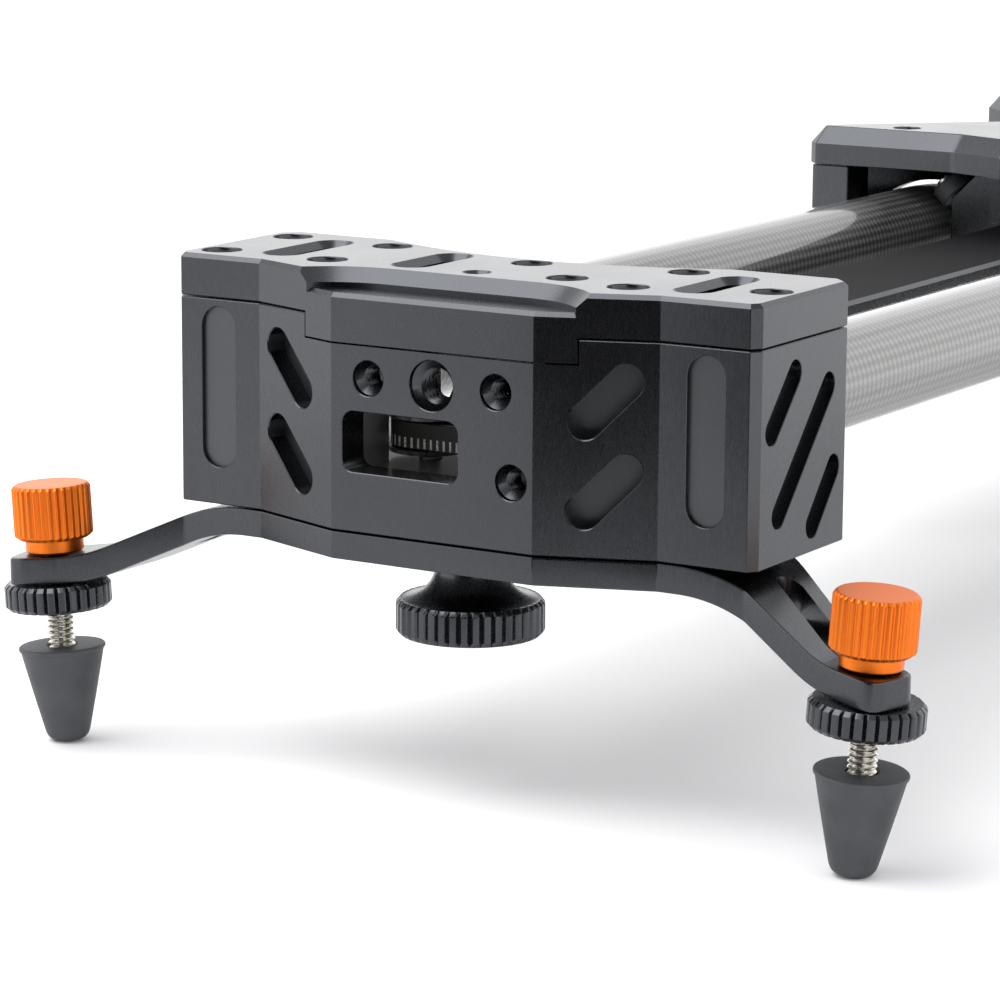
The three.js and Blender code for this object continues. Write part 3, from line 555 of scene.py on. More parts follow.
def block_outline():
    return mirrored([(FACE, 0, 0.8)] + shoulder_half() + rear_half())


def slanted(side):
    """From a slanted face's own frame, whose origin is on the edge of the flat front."""
    return shift(side * FACE, 0, 0) @ Matrix.Rotation(side * SLANT, 4, "Z") @ ON_FRONT


def block_pockets():
    """The slots in the slanted faces, the recesses beside them and the grooves in the side faces."""
    near, far, rise, radius, depth = 36.5, 45.0, 9.15, 3.9, 4.5
    recess_x, recess_low, recess_high, recess_radius = 63.0, 13.2, 41.2, 4.65
    groove_radius, groove_depth = 3.0, 2.2
    tools = []
    for side in (1, -1):
        along = [side * (x - FACE) / math.cos(SLANT) for x in (near, far)]
        for low in (10.1, 29.7):
            shape = slot((along[0], low), (along[1], low + rise), radius)
            tools.append(moved(pocket(shape, depth), slanted(side)))
        recess = slot((side * recess_x, recess_low), (side * recess_x, recess_high), recess_radius)
        tools.append(moved(pocket(recess, 1.0, 0.12), shift(0, SHOULDER_Y, 0) @ ON_FRONT))
        for start, end in GROOVES:
            line = slot((side * start[0], start[1]), (side * end[0], end[1]), groove_radius)
            tools.append(moved(pocket(line, groove_depth, 0.15), ON_RIGHT if side > 0 else ON_LEFT))
    return tools


def block_cavity():
    """The room for the belt and its idlers, and the holes that the axles and the rails go into."""
    well_top = BELT_Z + BELT_HEIGHT + FLANGE + 2 * GAP
    tools = [
        box((-CAVITY_FRONT, WALL, CAVITY_FLOOR), (CAVITY_FRONT, CAVITY_STEP + 1, CAVITY_ROOF)),
        box((-CAVITY_BACK, CAVITY_STEP, CAVITY_FLOOR), (CAVITY_BACK, DEPTH + PAST, CAVITY_ROOF)),
        box((-SKIRT_HALF - GAP, -PAST, SKIRT_LOW - GAP), (SKIRT_HALF + GAP, WALL + GAP, SEAM + PAST)),
    ]
    for side in (1, -1):
        place = shift(side * IDLER_X, IDLER_Y, 0)
        tools.append(moved(rod(FLANGE_R + 2 * GAP, CAVITY_FLOOR, well_top), place))
        tools.append(moved(rod(AXLE_R + GAP, CAVITY_FLOOR - 4, CAVITY_FLOOR + 1), place))
        tools.append(moved(rod(AXLE_R + GAP, CAVITY_ROOF - 1, SEAM + PAST), place))
        socket = rod(RAIL_R + GAP, -DEPTH - PAST, -RAIL_SEAT)
        tools.append(moved(socket, shift(side * RAIL_X, 0, RAIL_Z) @ ON_FRONT))
    return tools


def pocket_depth(x, y):
    """How far a point is behind the flat and slanted faces beside the middle one."""
    if x > SHOULDER_X:
        return y - SHOULDER_Y
    return (y - (x - FACE) * math.tan(SLANT)) * math.cos(SLANT) if x > FACE else 0


def block_finish_and_light(face):
    """Which material a face of the block has: 0 outside, 1 in a pocket, rougher and with painted light, 2
    in the cavity, with painted light.
    """
    x, y, z = face.center / MM
    if abs(x) < CAVITY_BACK + 1 and WALL < y < CAVITY_END and CAVITY_FLOOR - 1 < z < CAVITY_ROOF + 1:
        return 2
    deepest = 8.0
    return int(abs(face.normal.z) < 0.5 and 0.3 < pocket_depth(abs(x), y) < deepest)


def end_block():
    """The block, whose front wall has a window and threaded holes."""
    body = slab(block_outline(), 0, SEAM - GAP, EDGE)
    opening = pocket(rectangle(*WINDOW, WINDOW_CORNER), WALL + 1, 0.2)
    holes = [moved(tapped_hole(bore, mouth, WALL + 1, pitch), ON_FRONT @ shift(x, z, 0))
             for x, z, bore, mouth, pitch in FRONT_HOLES]
    lock_thread = moved(rod(LOCK_SHANK + GAP, -PAST, 8), shift(0, LOCK_Y, 0))
    tools = block_cavity() + block_pockets() + [moved(opening, ON_FRONT), lock_thread] + holes
    # The pockets and the cavity take lighter copies of the black: painted light.
    block = finished(cut(body, tools), (BLACK, MILLED_LIT, CAVITY_LIGHT))
    for face in block.polygons:
        face.material_index = block_finish_and_light(face)
    return block


# ------------------------------------------------------------ top plate
def scoop_curve():
    """From the middle of the step's wall round to where it meets the slanted face."""
    lip = (SCOOP_END, (SCOOP_END - FACE) * math.tan(SLANT))
    bend = ((lip[0] + SCOOP_HALF) / 2 + 1.5, SCOOP_Y)
    return curve((SCOOP_HALF, SCOOP_Y), bend, lip, 16)


def scooped_outline():
    """The outline above the step, whose front edge is scooped back between the slanted faces."""
    return mirrored(scoop_curve() + shoulder_half() + rear_half())


def scoop_slope():
    """A cutter that widens upwards, so that the step's wall leans back over its upper part."""
    scoop = scoop_curve()
    onwards = (Vector(scoop[-1]) - Vector(scoop[-2])).normalized() * SCOOP_SLOPE + Vector(scoop[-1])
    front = scoop + [tuple(onwards), (onwards.x, -PAST)]
    levels = [(TOP - SCOOP_SLOPE, 0), (TOP, -SCOOP_SLOPE), (TOP + PAST, -SCOOP_SLOPE)]
    return stack(mirrored(front)[::-1], levels)


def skirt_outline():
    side = (SKIRT_HALF - FACE) * math.tan(SLANT)
    return rounded(mirrored([(FACE, 0, 0.8), (SKIRT_HALF, side), (SKIRT_HALF, WALL)]))


def plate_cutters():
    tools = []
    for x, y in PLATE_HOLES:
        tools.append(moved(tapped_hole(3.2, 4.9, TOP - SEAM + PAST, SMALL_PITCH), shift(x, y, TOP)))
    pin = turned([(1.7, SEAM - PAST), (1.7, TOP - 1.7), (3.4, TOP), (3.4, TOP + PAST)])
    tools.append(moved(pin, shift(0, 19, 0)))
    for x, near, far in PLATE_SLOTS:
        shape = slot((x, near), (x, far), SLOT_HALF)
        tools.append(moved(pocket(shape, TOP - SEAM + PAST, SLOT_LIP), shift(0, 0, TOP)))
    return tools + [scoop_slope()]


def top_plate():
    foot = [(SEAM, EDGE), (SEAM + EDGE, 0)]
    lower = stack(block_outline(), foot + [(LEDGE - CHAMFER, 0), (LEDGE, CHAMFER)])
    upper = stack(scooped_outline(), foot + [(TOP - CHAMFER, 0), (TOP, CHAMFER)])
    skirt = stack(skirt_outline(), [(SKIRT_LOW, 0.15), (SKIRT_LOW + 0.15, 0), (SEAM + 1, 0)])
    return finished(cut(join(lower, [upper, skirt]), plate_cutters()), BLACK)


# ------------------------------------------------------------ leg bar
def leg_profile():
    """The bent strip seen from the front: level, down each arm, then the tilted pads."""
    level = -GAP - LEG / 2
    pad_level = FOOT_Z - LEG / 2 / math.cos(TILT)
    knee = Vector((KNEE, level))
    ankle = Vector((ANKLE, pad_level + (FOOT_X - ANKLE) * math.tan(TILT)))
    tip = Vector((TIP, pad_level + (FOOT_X - TIP) * math.tan(TILT)))
    slope = (ankle - knee).normalized()
    knee_bend, ankle_bend = 9.0, 6.0
    path = [Vector((0, level))]
    path += curve(knee - Vector((knee_bend, 0)), knee, knee + slope * knee_bend, 14)
    path += curve(ankle - slope * ankle_bend, ankle, ankle + (tip - ankle).normalized() * ankle_bend, 14)
    path = [Vector(point) for point in path] + [tip]

    def edge(side):
        points = []
        for i, point in enumerate(path):
            run = (path[min(i + 1, len(path) - 1)] - path[max(i - 1, 0)]).normalized()
            points.append(tuple(point + Vector((-run.y, run.x)) * side * LEG / 2))
        return points

    return mirrored(edge(-1)[1:] + edge(1)[:0:-1])


def leg_outline():
    """The leg bar from above: as wide as the block's front, then back to the pads' inner edges."""
    return rounded(mirrored([
        (FACE, 0, 0.8), (SHOULDER_X, SHOULDER_Y, 0.8), (73, SHOULDER_Y, 3), (112, -8.6, 4), (115, 5.2, 4),
        (70, 39.4, 1), (62, 43.5, 1),
    ]))


def at_foot(side):
    return shift(FOOT_X * side, FOOT_Y, FOOT_Z) @ Matrix.Rotation(TILT * side, 4, "Y")


def leg_bar():
    """The bent strip, trimmed to its outline, with a hole and a milled slot in each arm."""
    bent = moved(slab(leg_profile(), -60, 20), ON_FRONT)
    plan = slab(leg_outline(), -40, PAST)
    strip = combined(bent, [plan], "INTERSECT")

    def break_edges(holder):
        step = holder.modifiers.new("edges", "BEVEL")
        step.width = 0.5
        step.segments = 2
        step.angle_limit = math.radians(40)
        step.use_clamp_overlap = False

    strip = triangulated(modified(strip, break_edges))
    tools = [moved(rod(LOCK_SHANK + GAP, -40, PAST), shift(0, LOCK_Y, 0))]
    for side in (1, -1):
        arm = slot((side * (75.5 - FOOT_X), 24.7 - FOOT_Y), (0, 0), 3.25)
        # The slot is level with the pad's top, so it only sinks into the sloping arm.
        tools.append(moved(slab(arm, 0.2, 25), at_foot(side)))
        tools.append(moved(rod(STUD_R + GAP, -20, PAST), at_foot(side)))
    return finished(cut(strip, tools), BLACK, 25)


# ------------------------------------------------------------ knobs and feet
def lock_knob():
    """A wide fluted knob with a dished top, on a shank that screws into the block."""
    flutes, flute, neck = 40, 0.85, 8.0
    low, top = LOCK_BOTTOM, LOCK_TOP
    rim = LOCK_R - 0.9
    side = LOCK_R - 0.1
    under = -2 * GAP - LEG
    profile = [
        (9.5, low + 0.8), (10.0, low), (rim, low), (side, low + 0.9, flute), (LOCK_R, low + 1.2, flute),
        (LOCK_R, top - 1.2, flute), (side, top - 0.9, flute), (rim, top, 0.2),
    ]
    profile += curve((rim - 0.3, top - 0.1), (9.5, top + 0.8), (neck, top + 6.2), 14)
    profile += [(neck, under), (LOCK_SHANK, under), (LOCK_SHANK, 7.0)]
    return finished(turned(profile, flutes * RIDGE_SIDES, groove=grooves(flutes, 0.5)), BLACK, 35)


def knurled_knob(radius, collar, low, grip, top, bore=None, bore_top=None):
    """A tall knob with rounded ridges, a broken rim and a plain collar."""
    ridges, depth, lip = 32, 0.5, 0.65
    profile = [(bore, bore_top), (bore, low)] if bore else []
    profile += [
        (collar - 0.4, low), (collar, low + 0.4), (collar, grip), (radius - lip - depth, grip),
        (radius - 0.25, grip + lip, depth), (radius, grip + lip + 0.3, depth),
        (radius, top - lip - 0.3, depth), (radius - 0.2, top - lip, depth),
        (radius - lip - 0.1, top - 0.1, 0.1), (radius - lip - 0.5, top),
    ]
    return turned(profile, ridges * RIDGE_SIDES, groove=grooves(ridges, 0.95))


def foot_knob():
    knob = knurled_knob(KNOB_R, COLLAR_R, GAP, KNOB_LOW, KNOB_TOP, STUD_R + GAP, STUD_HIGH + GAP)
    return finished(knob, ORANGE, 35)


def thumbwheel():
    """A thin nut with broad teeth, chamfered on both sides."""
    teeth, depth, bevel = 30, 0.85, 0.95
    top = -LEG - GAP
    bottom = top - WHEEL
    bore = STUD_R + GAP
    profile = [
        (bore + 0.5, bottom), (WHEEL_R - bevel, bottom, 0.35), (WHEEL_R, bottom + bevel, depth),
        (WHEEL_R, top - bevel, depth), (WHEEL_R - bevel, top, 0.35), (bore + 0.5, top),
        (bore, top - 0.5), (bore, bottom + 0.5),
    ]
    wheel = turned(profile, teeth * RIDGE_SIDES, closed=True, groove=grooves(teeth, 0.42))
    return finished(wheel, BLACK, 35)


def stud():
    return finished(loft(thread(STUD_R, STUD_LOW, STUD_HIGH, SMALL_PITCH)), STEEL, 40)


def rubber_foot():
    """A cone that tapers to a rounded tip, moulded with a thin rim round its top."""
    top, tip, shoulder = -22.1, -44.9, (5.3, -42.3)
    hollow = STUD_R + GAP
    side = curve(shoulder, (7.6, -33.0), (9.75, -23.3), 10)
    point = curve((2.2, tip), (4.7, tip), shoulder, 8)
    profile = point[:-1] + side + [
        (10.1, top - 0.95), (10.2, top - 0.6), (10.1, top - 0.2), (9.8, top),
        (hollow + 0.5, top), (hollow, top - 0.4), (hollow, STUD_LOW - GAP),
    ]
    return finished(turned(profile), RUBBER, 40)


# ------------------------------------------------------------ belt drive
def idler():
    """A flanged wheel: dark, with the rims of its flanges in a bright metal that paints in their highlight.
    """
    low, high = BELT_Z - GAP, BELT_Z + BELT_HEIGHT + GAP
    top = high + FLANGE
    bore = AXLE_R + 0.1
    rim = 0.15
    edge = FLANGE_R - rim
    profile = [
        (bore, FLANGE_LOW), (edge, FLANGE_LOW), (FLANGE_R, FLANGE_LOW + rim), (FLANGE_R, low - rim),
        (edge, low), (IDLER_R, low + 0.2), (IDLER_R, high - 0.2), (edge, high),
        (FLANGE_R, high + rim), (FLANGE_R, top - rim), (edge, top), (HUB_R, top), (HUB_R, IDLER_TOP),
        (bore, IDLER_TOP),
    ]
    mesh = turned(profile, closed=True)
    # The rims' faces take the bright metal: a painted highlight.
    for face in mesh.polygons:
        radii = [Vector(mesh.vertices[i].co[:2]).length for i in face.vertices]
        face.material_index = int(min(radii) > edge - 0.01)
    return finished(mesh, (PULLEY, RIM_HIGHLIGHT))


def idler_axle():
    return finished(rod(AXLE_R, CAVITY_FLOOR - 3.7, SEAM - 1, 0.3), STEEL)


def belt_path(half, end):
    """Evenly spaced points round the belt's middle line, each with its outward normal."""
    outline = [Vector(point) for point in rectangle(-half, -end, half, end, BELT_R)]
    lengths = [(outline[(i + 1) % len(outline)] - point).length for i, point in enumerate(outline)]
    count = round(sum(lengths) / TOOTH_PITCH) * TOOTH_STEPS
    step = sum(lengths) / count
    points = []
    i, used = 0, 0.0
    for k in range(count):
        while k * step - used > lengths[i]:
            used += lengths[i]
            i += 1
        points.append(outline[i].lerp(outline[(i + 1) % len(outline)], (k * step - used) / lengths[i]))
    path = []
    for k, point in enumerate(points):
        run = (points[(k + 1) % count] - points[k - 1]).normalized()
        path.append((point, Vector((run.y, -run.x))))
    return path, step


def belt():
    """A toothed loop, with each point's distance along it and its height kept for its material."""
    low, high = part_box("belt")
    end = (high.y - low.y) / MM / 2 - BELT_THICK / 2
    path, step = belt_path(STRAND, end)
    bottom = low.z / MM
    edge = 0.15
    rings = []
    for k, (point, out) in enumerate(path):
        outer = point + out * BELT_THICK / 2
        inner = point - out * (BELT_THICK / 2 + (TOOTH if k % TOOTH_STEPS < TOOTH_STEPS / 2 else 0))
        soft = outer - out * edge
        rings.append([
            (*outer, bottom + edge), (*outer, bottom + BELT_HEIGHT - edge), (*soft, bottom + BELT_HEIGHT),
            (*inner, bottom + BELT_HEIGHT), (*inner, bottom), (*soft, bottom),
        ])
    mesh = loft(rings, closed=True)
    shape = bmesh.new()
    shape.from_mesh(mesh)
    bmesh.ops.recalc_face_normals(shape, faces=shape.faces)
    shape.to_mesh(mesh)
    shape.free()
    run = mesh.attributes.new("run", "FLOAT", "POINT")
    run.data.foreach_set("value", [k * step for k in range(len(path)) for _ in rings[0]])
    height = mesh.attributes.new("height", "FLOAT", "POINT")
    height.data.foreach_set("value", [(v.co.z - bottom) / BELT_HEIGHT for v in mesh.vertices])
    return finished(mesh, BELT)


# ------------------------------------------------------------ rails and bar
def rail():
    """A tube along Y, as long as its CAD solid."""
    low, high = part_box("right_rail")
    half = (high.y - low.y) / MM / 2
    inner = RAIL_R - RAIL_WALL
    profile = [
        (inner, -half), (RAIL_R - EDGE, -half), (RAIL_R, EDGE - half), (RAIL_R, half - EDGE),
        (RAIL_R - EDGE, half), (inner, half),
    ]
    return finished(moved(turned(profile, 128, closed=True), ON_FRONT), CARBON)


def centre_bar():
    """A box section along Y, whose upward faces are rougher and painted darker, as shade."""
    low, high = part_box("centre_bar")
    half = (high.y - low.y) / MM / 2
    section = mirrored([(BAR_HALF - 0.5, BAR_BOTTOM), (BAR_HALF, BAR_BOTTOM + 0.5),
                        (BAR_HALF, BAR_TOP - CHAMFER), (BAR_HALF - CHAMFER, BAR_TOP)])
    inner = BAR_HALF - BAR_WALL
    hollow = rectangle(-inner, BAR_BOTTOM + BAR_WALL, inner, BAR_TOP - BAR_WALL, 1)
    body = moved(slab(section, -half, half), ON_FRONT)
    bar = finished(cut(body, [moved(slab(hollow, -half - 1, half + 1), ON_FRONT)]), (BLACK, DULL_SHADED_BLACK))
    # Upward faces take the darker copy: painted shade.
    for face in bar.polygons:
        face.material_index = int(face.normal.z > 0.9)
    return bar


# ------------------------------------------------------------ carriage
def carriage_outline():
    """A wide wing at each end, tapering to a narrow waist."""
    quarter = [
        (12.0, -NOSE, 2), (30.0, -CARRIAGE_END, 6), (WING - 3, -CARRIAGE_END, 1),
        (WING, 3 - CARRIAGE_END, 1), (WING, -CARRIAGE_SIDE, 1), (WAIST, WING - WAIST - CARRIAGE_SIDE, 5),
    ]
    farther = [(x, -y, radius) for x, y, radius in reversed(quarter)]
    return mirrored(quarter + farther)


def carriage_plate():
    """The plate, with a broad bevel round its top and holes for what is screwed to it."""
    bevel = 4.2
    levels = [
        (PLATE_LOW, EDGE), (PLATE_LOW + EDGE, 0), (PLATE_EDGE, 0),
        (PLATE_TOP - 0.2, bevel - 0.4), (PLATE_TOP, bevel),
    ]
    below, above = PLATE_LOW - PAST, PLATE_TOP + PAST
    tools = [
        moved(rod(BRAKE_STEM + GAP, below, above), shift(0, BRAKE_Y, 0)),
        rod(SCREW_R + GAP, below, above),
    ]
    for end in (1, -1):
        for side in (1, -1):
            for x, y in ((50, 58), (22, 34)):
                hole = tapped_hole(3.2, 4.4, 8, SMALL_PITCH)
                tools.append(moved(hole, shift(side * x, end * y, PLATE_TOP)))
    return finished(cut(triangulated(stack(carriage_outline(), levels)), tools), BLACK)


def cheek(side):
    """The wall under a corner of the plate, and the web that goes from it over the rail."""
    outer = WING - 1
    tip = WAIST + 1
    back = outer - CARRIAGE_SIDE  # the slanted edge runs along x + y = back
    wall = [
        (CHEEK_X, 1 - CARRIAGE_END, 0.5), (outer, 1 - CARRIAGE_END, 2),
        (outer, -CARRIAGE_SIDE, 0.5), (CHEEK_X, back - CHEEK_X, 0.5),
    ]
    web = [
        (outer - 1, back - outer + 1), (tip, back - tip),
        (tip, back - tip - WEB * math.sqrt(2)), (CHEEK_X + 1, back - CHEEK_X - 1 - WEB * math.sqrt(2)),
    ]
    if side < 0:
        wall = [(-x, *rest) for x, *rest in reversed(wall)]
        web = [(-x, y) for x, y in reversed(web)]
    top = PLATE_LOW - GAP
    shape = slab(rounded(wall), CHEEK_LOW, top, EDGE)
    circle = arc(side * RAIL_X, RAIL_Z, RAIL_R + ARCH, 0, math.tau, ROUND)[1:]
    room = moved(slab(circle, -NOSE, NOSE), ON_FRONT)
    arch = cut(slab(web, RAIL_Z, top - EDGE), [room])
    return finished(join(shape, [arch]), BLACK)


def roller_places():
    """Where each roller sits against a rail, and the direction of its axle towards the saddle."""
    places = []
    for end in (1, -1):
        for side in (1, -1):
            for level in (1, -1):
                out = Vector((-side, 0, level)).normalized()
                centre = Vector((RAIL_X * side, ROLLER_Y * end, RAIL_Z)) + out * (RAIL_R + ROLLER_R + GAP)
                inwards = Vector((-side, 0, -level)).normalized()
                turn = Vector((0, 0, 1)).rotation_difference(inwards).to_matrix().to_4x4()
                name = f"{'rear' if end > 0 else 'front'}_{'right' if side > 0 else 'left'}"
                name += "_upper" if level > 0 else "_lower"
                places.append((name, Matrix.Translation(centre * MM) @ turn, level))
    return places


def roller():
    half = ROLLER / 2
    edge = 0.5
    profile = [
        (ROLLER_BORE, -half), (ROLLER_BORE + 1.3, -half), (ROLLER_BORE + 1.4, -half + 0.3),
        (ROLLER_R - 1.0, -half + 0.3), (ROLLER_R - 0.9, -half), (ROLLER_R - edge, -half),
        (ROLLER_R, edge - half), (ROLLER_R, half - edge), (ROLLER_R - edge, half), (ROLLER_BORE, half),
    ]
    return finished(turned(profile, closed=True), RUBBER)


def roller_bolt(level):
    """A socket-headed bolt whose end is held in the saddle."""
    head_r, head = 3.0, 1.2
    face = -ROLLER / 2 - GAP
    reach = UPPER_REACH if level > 0 else LOWER_REACH
    profile = [
        (head_r - 0.3, face - head), (head_r, face - head + 0.3), (head_r, face), (BOLT_R, face),
        (BOLT_R, reach - 0.3), (BOLT_R - 0.3, reach),
    ]
    over = Matrix.Rotation(math.pi, 4, "X")
    socket = moved(rod(1.5, -0.8, PAST, sides=6), shift(0, 0, face - head) @ over)
    return finished(cut(turned(profile, 36), [socket]), STEEL)


def saddle():
    """The block that straddles the centre bar, with a wing over each pair of rollers and a belt clamp."""
    top = PLATE_LOW - GAP
    length = CARRIAGE_END - 1
    inner_slot = 17.0
    wing, wing_floor, wing_slope, wing_half = 35.0, 24.0, 74.0, 6.0
    clamp_wall, clamp_slot, clamp_floor, clamp_top, clamp_half = 3.6, 1.1, 15.5, 22.5, 15.0
    spine = slab(rectangle(-SADDLE_HALF, -length, SADDLE_HALF, length), SADDLE_ROOF, top, EDGE)
    section = mirrored([
        (inner_slot, wing_floor), (wing, wing_floor), (wing, wing_slope - wing), (wing_slope - top, top),
    ])
    wings = []
    for end in (1, -1):
        across = slab(section, -wing_half, wing_half, EDGE)
        wings.append(moved(across, shift(0, end * ROLLER_Y, 0) @ ON_FRONT))
    inner = STRAND - clamp_slot - clamp_wall
    outer = STRAND + clamp_slot + clamp_wall
    jaw = [
        (inner, clamp_floor), (STRAND - clamp_slot, clamp_floor), (STRAND - clamp_slot, clamp_top),
        (STRAND + clamp_slot, clamp_top), (STRAND + clamp_slot, clamp_floor), (outer, clamp_floor),
        (outer, SADDLE_ROOF), (outer - clamp_wall, SADDLE_ROOF + clamp_wall),
        (SADDLE_HALF - 1, SADDLE_ROOF + clamp_wall), (SADDLE_HALF - 1, SADDLE_ROOF),
        (inner, SADDLE_ROOF - clamp_wall),
    ]
    clamp = moved(slab(jaw, -clamp_half, clamp_half, EDGE), ON_FRONT)
    tools = [
        box((-inner_slot, -NOSE, 0), (inner_slot, NOSE, SADDLE_ROOF)),
        moved(rod(BRAKE_STEM + GAP, SADDLE_ROOF - PAST, top + PAST), shift(0, BRAKE_Y, 0)),
        rod(SCREW_R + GAP, top - 6.3, top + PAST),
    ]
    for _, place, level in roller_places():
        reach = UPPER_REACH if level > 0 else LOWER_REACH
        in_mm = Matrix.Translation(place.translation / MM) @ place.to_3x3().to_4x4()
        tools.append(moved(rod(BOLT_R + GAP, 0, reach + GAP), in_mm))
    return finished(cut(join(spine, wings + [clamp]), tools), BLACK)


def camera_screw():
    """A threaded post with a round flange that the camera head sits on."""
    seat = PLATE_TOP + GAP
    rim = seat + 1.5
    post = thread(SCREW_R, rim, PLATE_TOP + 9, LARGE_PITCH, taper=0.8)
    sides = len(post[0])
    lower = [
        (SCREW_R, PLATE_LOW - 6), (SCREW_R, seat), (SCREW_FLANGE - 0.3, seat), (SCREW_FLANGE, seat + 0.3),
        (SCREW_FLANGE, rim - 0.3), (SCREW_FLANGE - 0.3, rim),
    ]
    return finished(loft([arc_ring(radius, height, sides) for radius, height in lower] + post), STEEL, 40)


def brake_knob():
    """A knurled knob whose stem reaches down to the centre bar."""
    seat = PLATE_TOP + GAP
    grip = seat + 2
    knob = knurled_knob(BRAKE_R, 8.0, seat, grip, seat + 12)
    stem = rod(BRAKE_STEM, BAR_TOP + GAP, seat + 1)
    return finished(join(knob, [stem]), ORANGE, 35)


# ------------------------------------------------------------ placing the pieces
BODY_OF = {node: body for body, nodes in frame["record"]["behaviour"]["bodies"].items() for node in nodes}


def show(node, mesh, place=None):
    """Puts a mesh in place as the piece that stands for a CAD node, and rides where it does."""
    piece = bpy.data.objects.new(f"{node}_fine", mesh)
    bpy.context.scene.collection.objects.link(piece)
    piece.matrix_world = place or Matrix.Identity(4)
    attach(piece, BODY_OF[node])
    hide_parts(node)


def metres(matrix):
    """The same placement, with its shift turned from millimetres to metres."""
    return Matrix.Translation(matrix.translation * MM) @ matrix.to_3x3().to_4x4()


def end_frame(prefix):
    """Where an end's own frame is, from the CAD solid of its block."""
    low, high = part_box(f"{prefix}_end_block")
    middle = (low.x + high.x) / 2
    if prefix == "front":
        return Matrix.Translation((middle, low.y, low.z))
    return Matrix.Translation((middle, high.y, low.z)) @ Matrix.Rotation(math.pi, 4, "Z")


def show_ends():
    whole = {"end_block": end_block(), "top_plate": top_plate(), "leg_bar": leg_bar()}
    lock = lock_knob()
    on_foot = {
        "foot_knob": foot_knob(), "thumbwheel": thumbwheel(), "stud": stud(), "rubber_foot": rubber_foot(),
    }
    on_block = {"idler": idler(), "idler_axle": idler_axle()}
    for prefix in ("front", "rear"):
        base = end_frame(prefix)
        for name, mesh in whole.items():
            show(f"{prefix}_{name}", mesh, base)
        show(f"{prefix}_lock_knob", lock, base @ metres(shift(0, LOCK_Y, 0)))
        for side in (1, -1):
            hand = "right" if (side > 0) == (prefix == "front") else "left"
            for name, mesh in on_foot.items():
                show(f"{prefix}_{hand}_{name}", mesh, base @ metres(at_foot(side)))
            for name, mesh in on_block.items():
                show(f"{prefix}_{hand}_{name}", mesh, base @ metres(shift(side * IDLER_X, IDLER_Y, 0)))


def show_rails():
    tube = rail()
    for hand in ("right", "left"):
        low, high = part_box(f"{hand}_rail")
        show(f"{hand}_rail", tube, Matrix.Translation((low + high) / 2))
    low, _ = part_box("centre_bar")
    show("centre_bar", centre_bar(), Matrix.Translation((0, 0, low.z - BAR_BOTTOM * MM)))
    show("belt", belt())


def show_carriage():
    low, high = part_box("carriage_plate")
    base = Matrix.Translation(((low.x + high.x) / 2, (low.y + high.y) / 2, low.z - PLATE_LOW * MM))
    show("carriage_plate", carriage_plate(), base)
    show("carriage_saddle", saddle(), base)
    show("camera_screw", camera_screw(), base)
    show("brake_knob", brake_knob(), base @ metres(shift(0, BRAKE_Y, 0)))
    for side in (1, -1):
        wall = cheek(side)
        for turned_round in (False, True):
            hand = "right" if (side > 0) != turned_round else "left"
            name = f"carriage_{'rear' if turned_round else 'front'}_{hand}_cheek"
            show(name, wall, base @ Matrix.Rotation(math.pi * turned_round, 4, "Z"))
    wheel = roller()
    bolts = {level: roller_bolt(level) for level in (1, -1)}
    for name, place, level in roller_places():
        show(f"{name}_roller", wheel, base @ place)
        show(f"{name}_roller_bolt", bolts[level], base @ place)


# ------------------------------------------------------------ stage
def add_camera():
    """Looks along the front block from its right, a little above it."""
    data = bpy.data.cameras.new("camera")
    data.sensor_width = 36.0
    data.lens = 141.2
    data.clip_start, data.clip_end = 0.05, 100.0
    camera = bpy.data.objects.new("camera", data)
    bpy.context.scene.collection.objects.link(camera)
    place = Matrix.Translation((0.45036, -1.11087, 0.23755))
    azimuth, elevation, roll = (math.radians(angle) for angle in (31.316, 11.292, 0.355))
    aim = Matrix.Rotation(azimuth, 4, "Z") @ Matrix.Rotation(math.pi / 2 - elevation, 4, "X")
    camera.matrix_world = place @ aim @ Matrix.Rotation(roll, 4, "Z")
    bpy.context.scene.camera = camera


def add_panel(name, centre, target, width, height, radiance):
    """A soft rectangular light that faces a point, as bright as it is asked to look."""
    data = bpy.data.lights.new(name, "AREA")
    data.shape = "RECTANGLE"
    data.size, data.size_y = width, height
    data.energy = radiance * math.pi * width * height
    panel = bpy.data.objects.new(name, data)
    bpy.context.scene.collection.objects.link(panel)
    panel.location = centre
    panel.rotation_euler = (Vector(target) - Vector(centre)).to_track_quat("-Z", "Y").to_euler()


def plane(name, width, height, matrix, material):
    """A flat part of the stage."""
    corners = [(x * width / 2, y * height / 2, 0) for x, y in ((-1, -1), (1, -1), (1, 1), (-1, 1))]
    mesh = solid(corners, [(0, 1, 2, 3)])
    mesh.materials.append(material)
    made = bpy.data.objects.new(name, mesh)
    bpy.context.scene.collection.objects.link(made)
    made.matrix_world = matrix
    return made


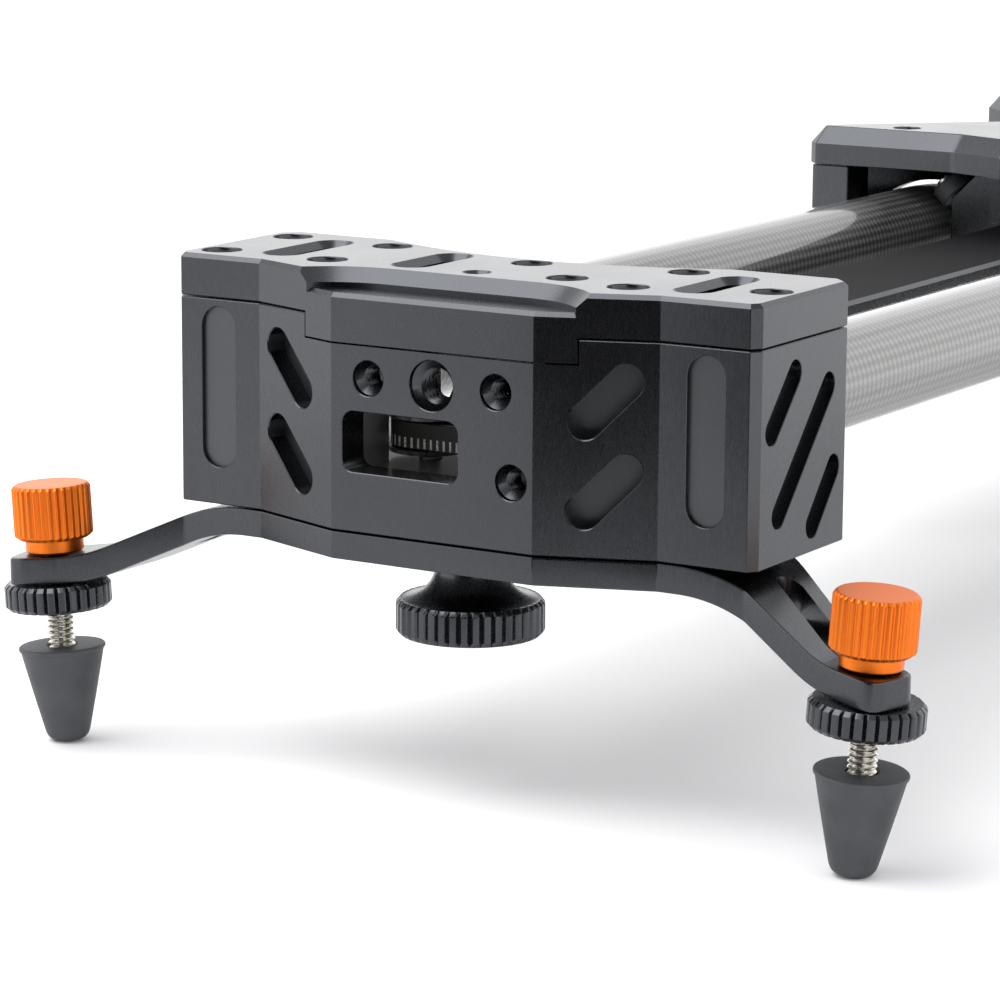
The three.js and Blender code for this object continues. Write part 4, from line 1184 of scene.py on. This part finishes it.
def add_card(name, centre, width, turn, radiance):
    """An upright black or glowing card that shows only in reflections, to shape the gloss."""
    paint = Paint(name, {"Base Color": (0.0, 0.0, 0.0, 1), "Specular IOR Level": 0.0, "Roughness": 1.0})
    paint.feed(paint.shader, {"Emission Color": (1.0, 1.0, 1.0, 1), "Emission Strength": radiance})
    upright = Matrix.Translation(centre) @ Matrix.Rotation(turn, 4, "Z") @ ON_FRONT
    card = plane(name, width, 0.5, upright, paint.material)
    card.visible_camera = False
    card.visible_diffuse = False
    card.visible_shadow = False


def add_sky():
    """White light, brightest at the horizon."""
    world = bpy.data.worlds.new("studio")
    bpy.context.scene.world = world
    world.use_nodes = True
    tree = world.node_tree
    back = tree.nodes["Background"]
    direction = tree.nodes.new("ShaderNodeTexCoord").outputs["Generated"]
    axes = tree.nodes.new("ShaderNodeSeparateXYZ")
    tree.links.new(direction, axes.inputs[0])
    ramp = tree.nodes.new("ShaderNodeValToRGB")
    tree.links.new(axes.outputs["Z"], ramp.inputs["Fac"])
    elements = ramp.color_ramp.elements
    elements[0].color = (1.0, 1.0, 1.0, 1)
    elements[1].position, elements[1].color = 0.8, (0.34, 0.34, 0.35, 1)
    elements.new(0.4).color = (0.72, 0.72, 0.73, 1)
    tree.links.new(ramp.outputs["Color"], back.inputs["Color"])
    back.inputs["Strength"].default_value = 2.1


def add_stage():
    plane("floor", 60, 60, Matrix.Identity(4), pale_floor())
    add_card("front flag", (0.12, -0.66, 0.05), 0.27, math.radians(8), 0.0)
    add_card("grey flag", (-0.065, -0.67, 0.05), 0.1, math.radians(8), 0.25)
    add_card("left card", (-0.5, -0.52, 0.1), 0.34, math.radians(-70), 2.0)
    add_card("rear card", (0.34, 0.05, 0.1), 0.5, math.radians(150), 1.8)
    add_panel("overhead", (-0.5, -0.6, 1.3), (0.0, -0.3, 0.0), 1.4, 0.9, 4.0)
    bpy.context.scene.view_settings.view_transform = "Standard"


add_camera()
show_ends()
show_rails()
show_carriage()
add_sky()
add_stage()
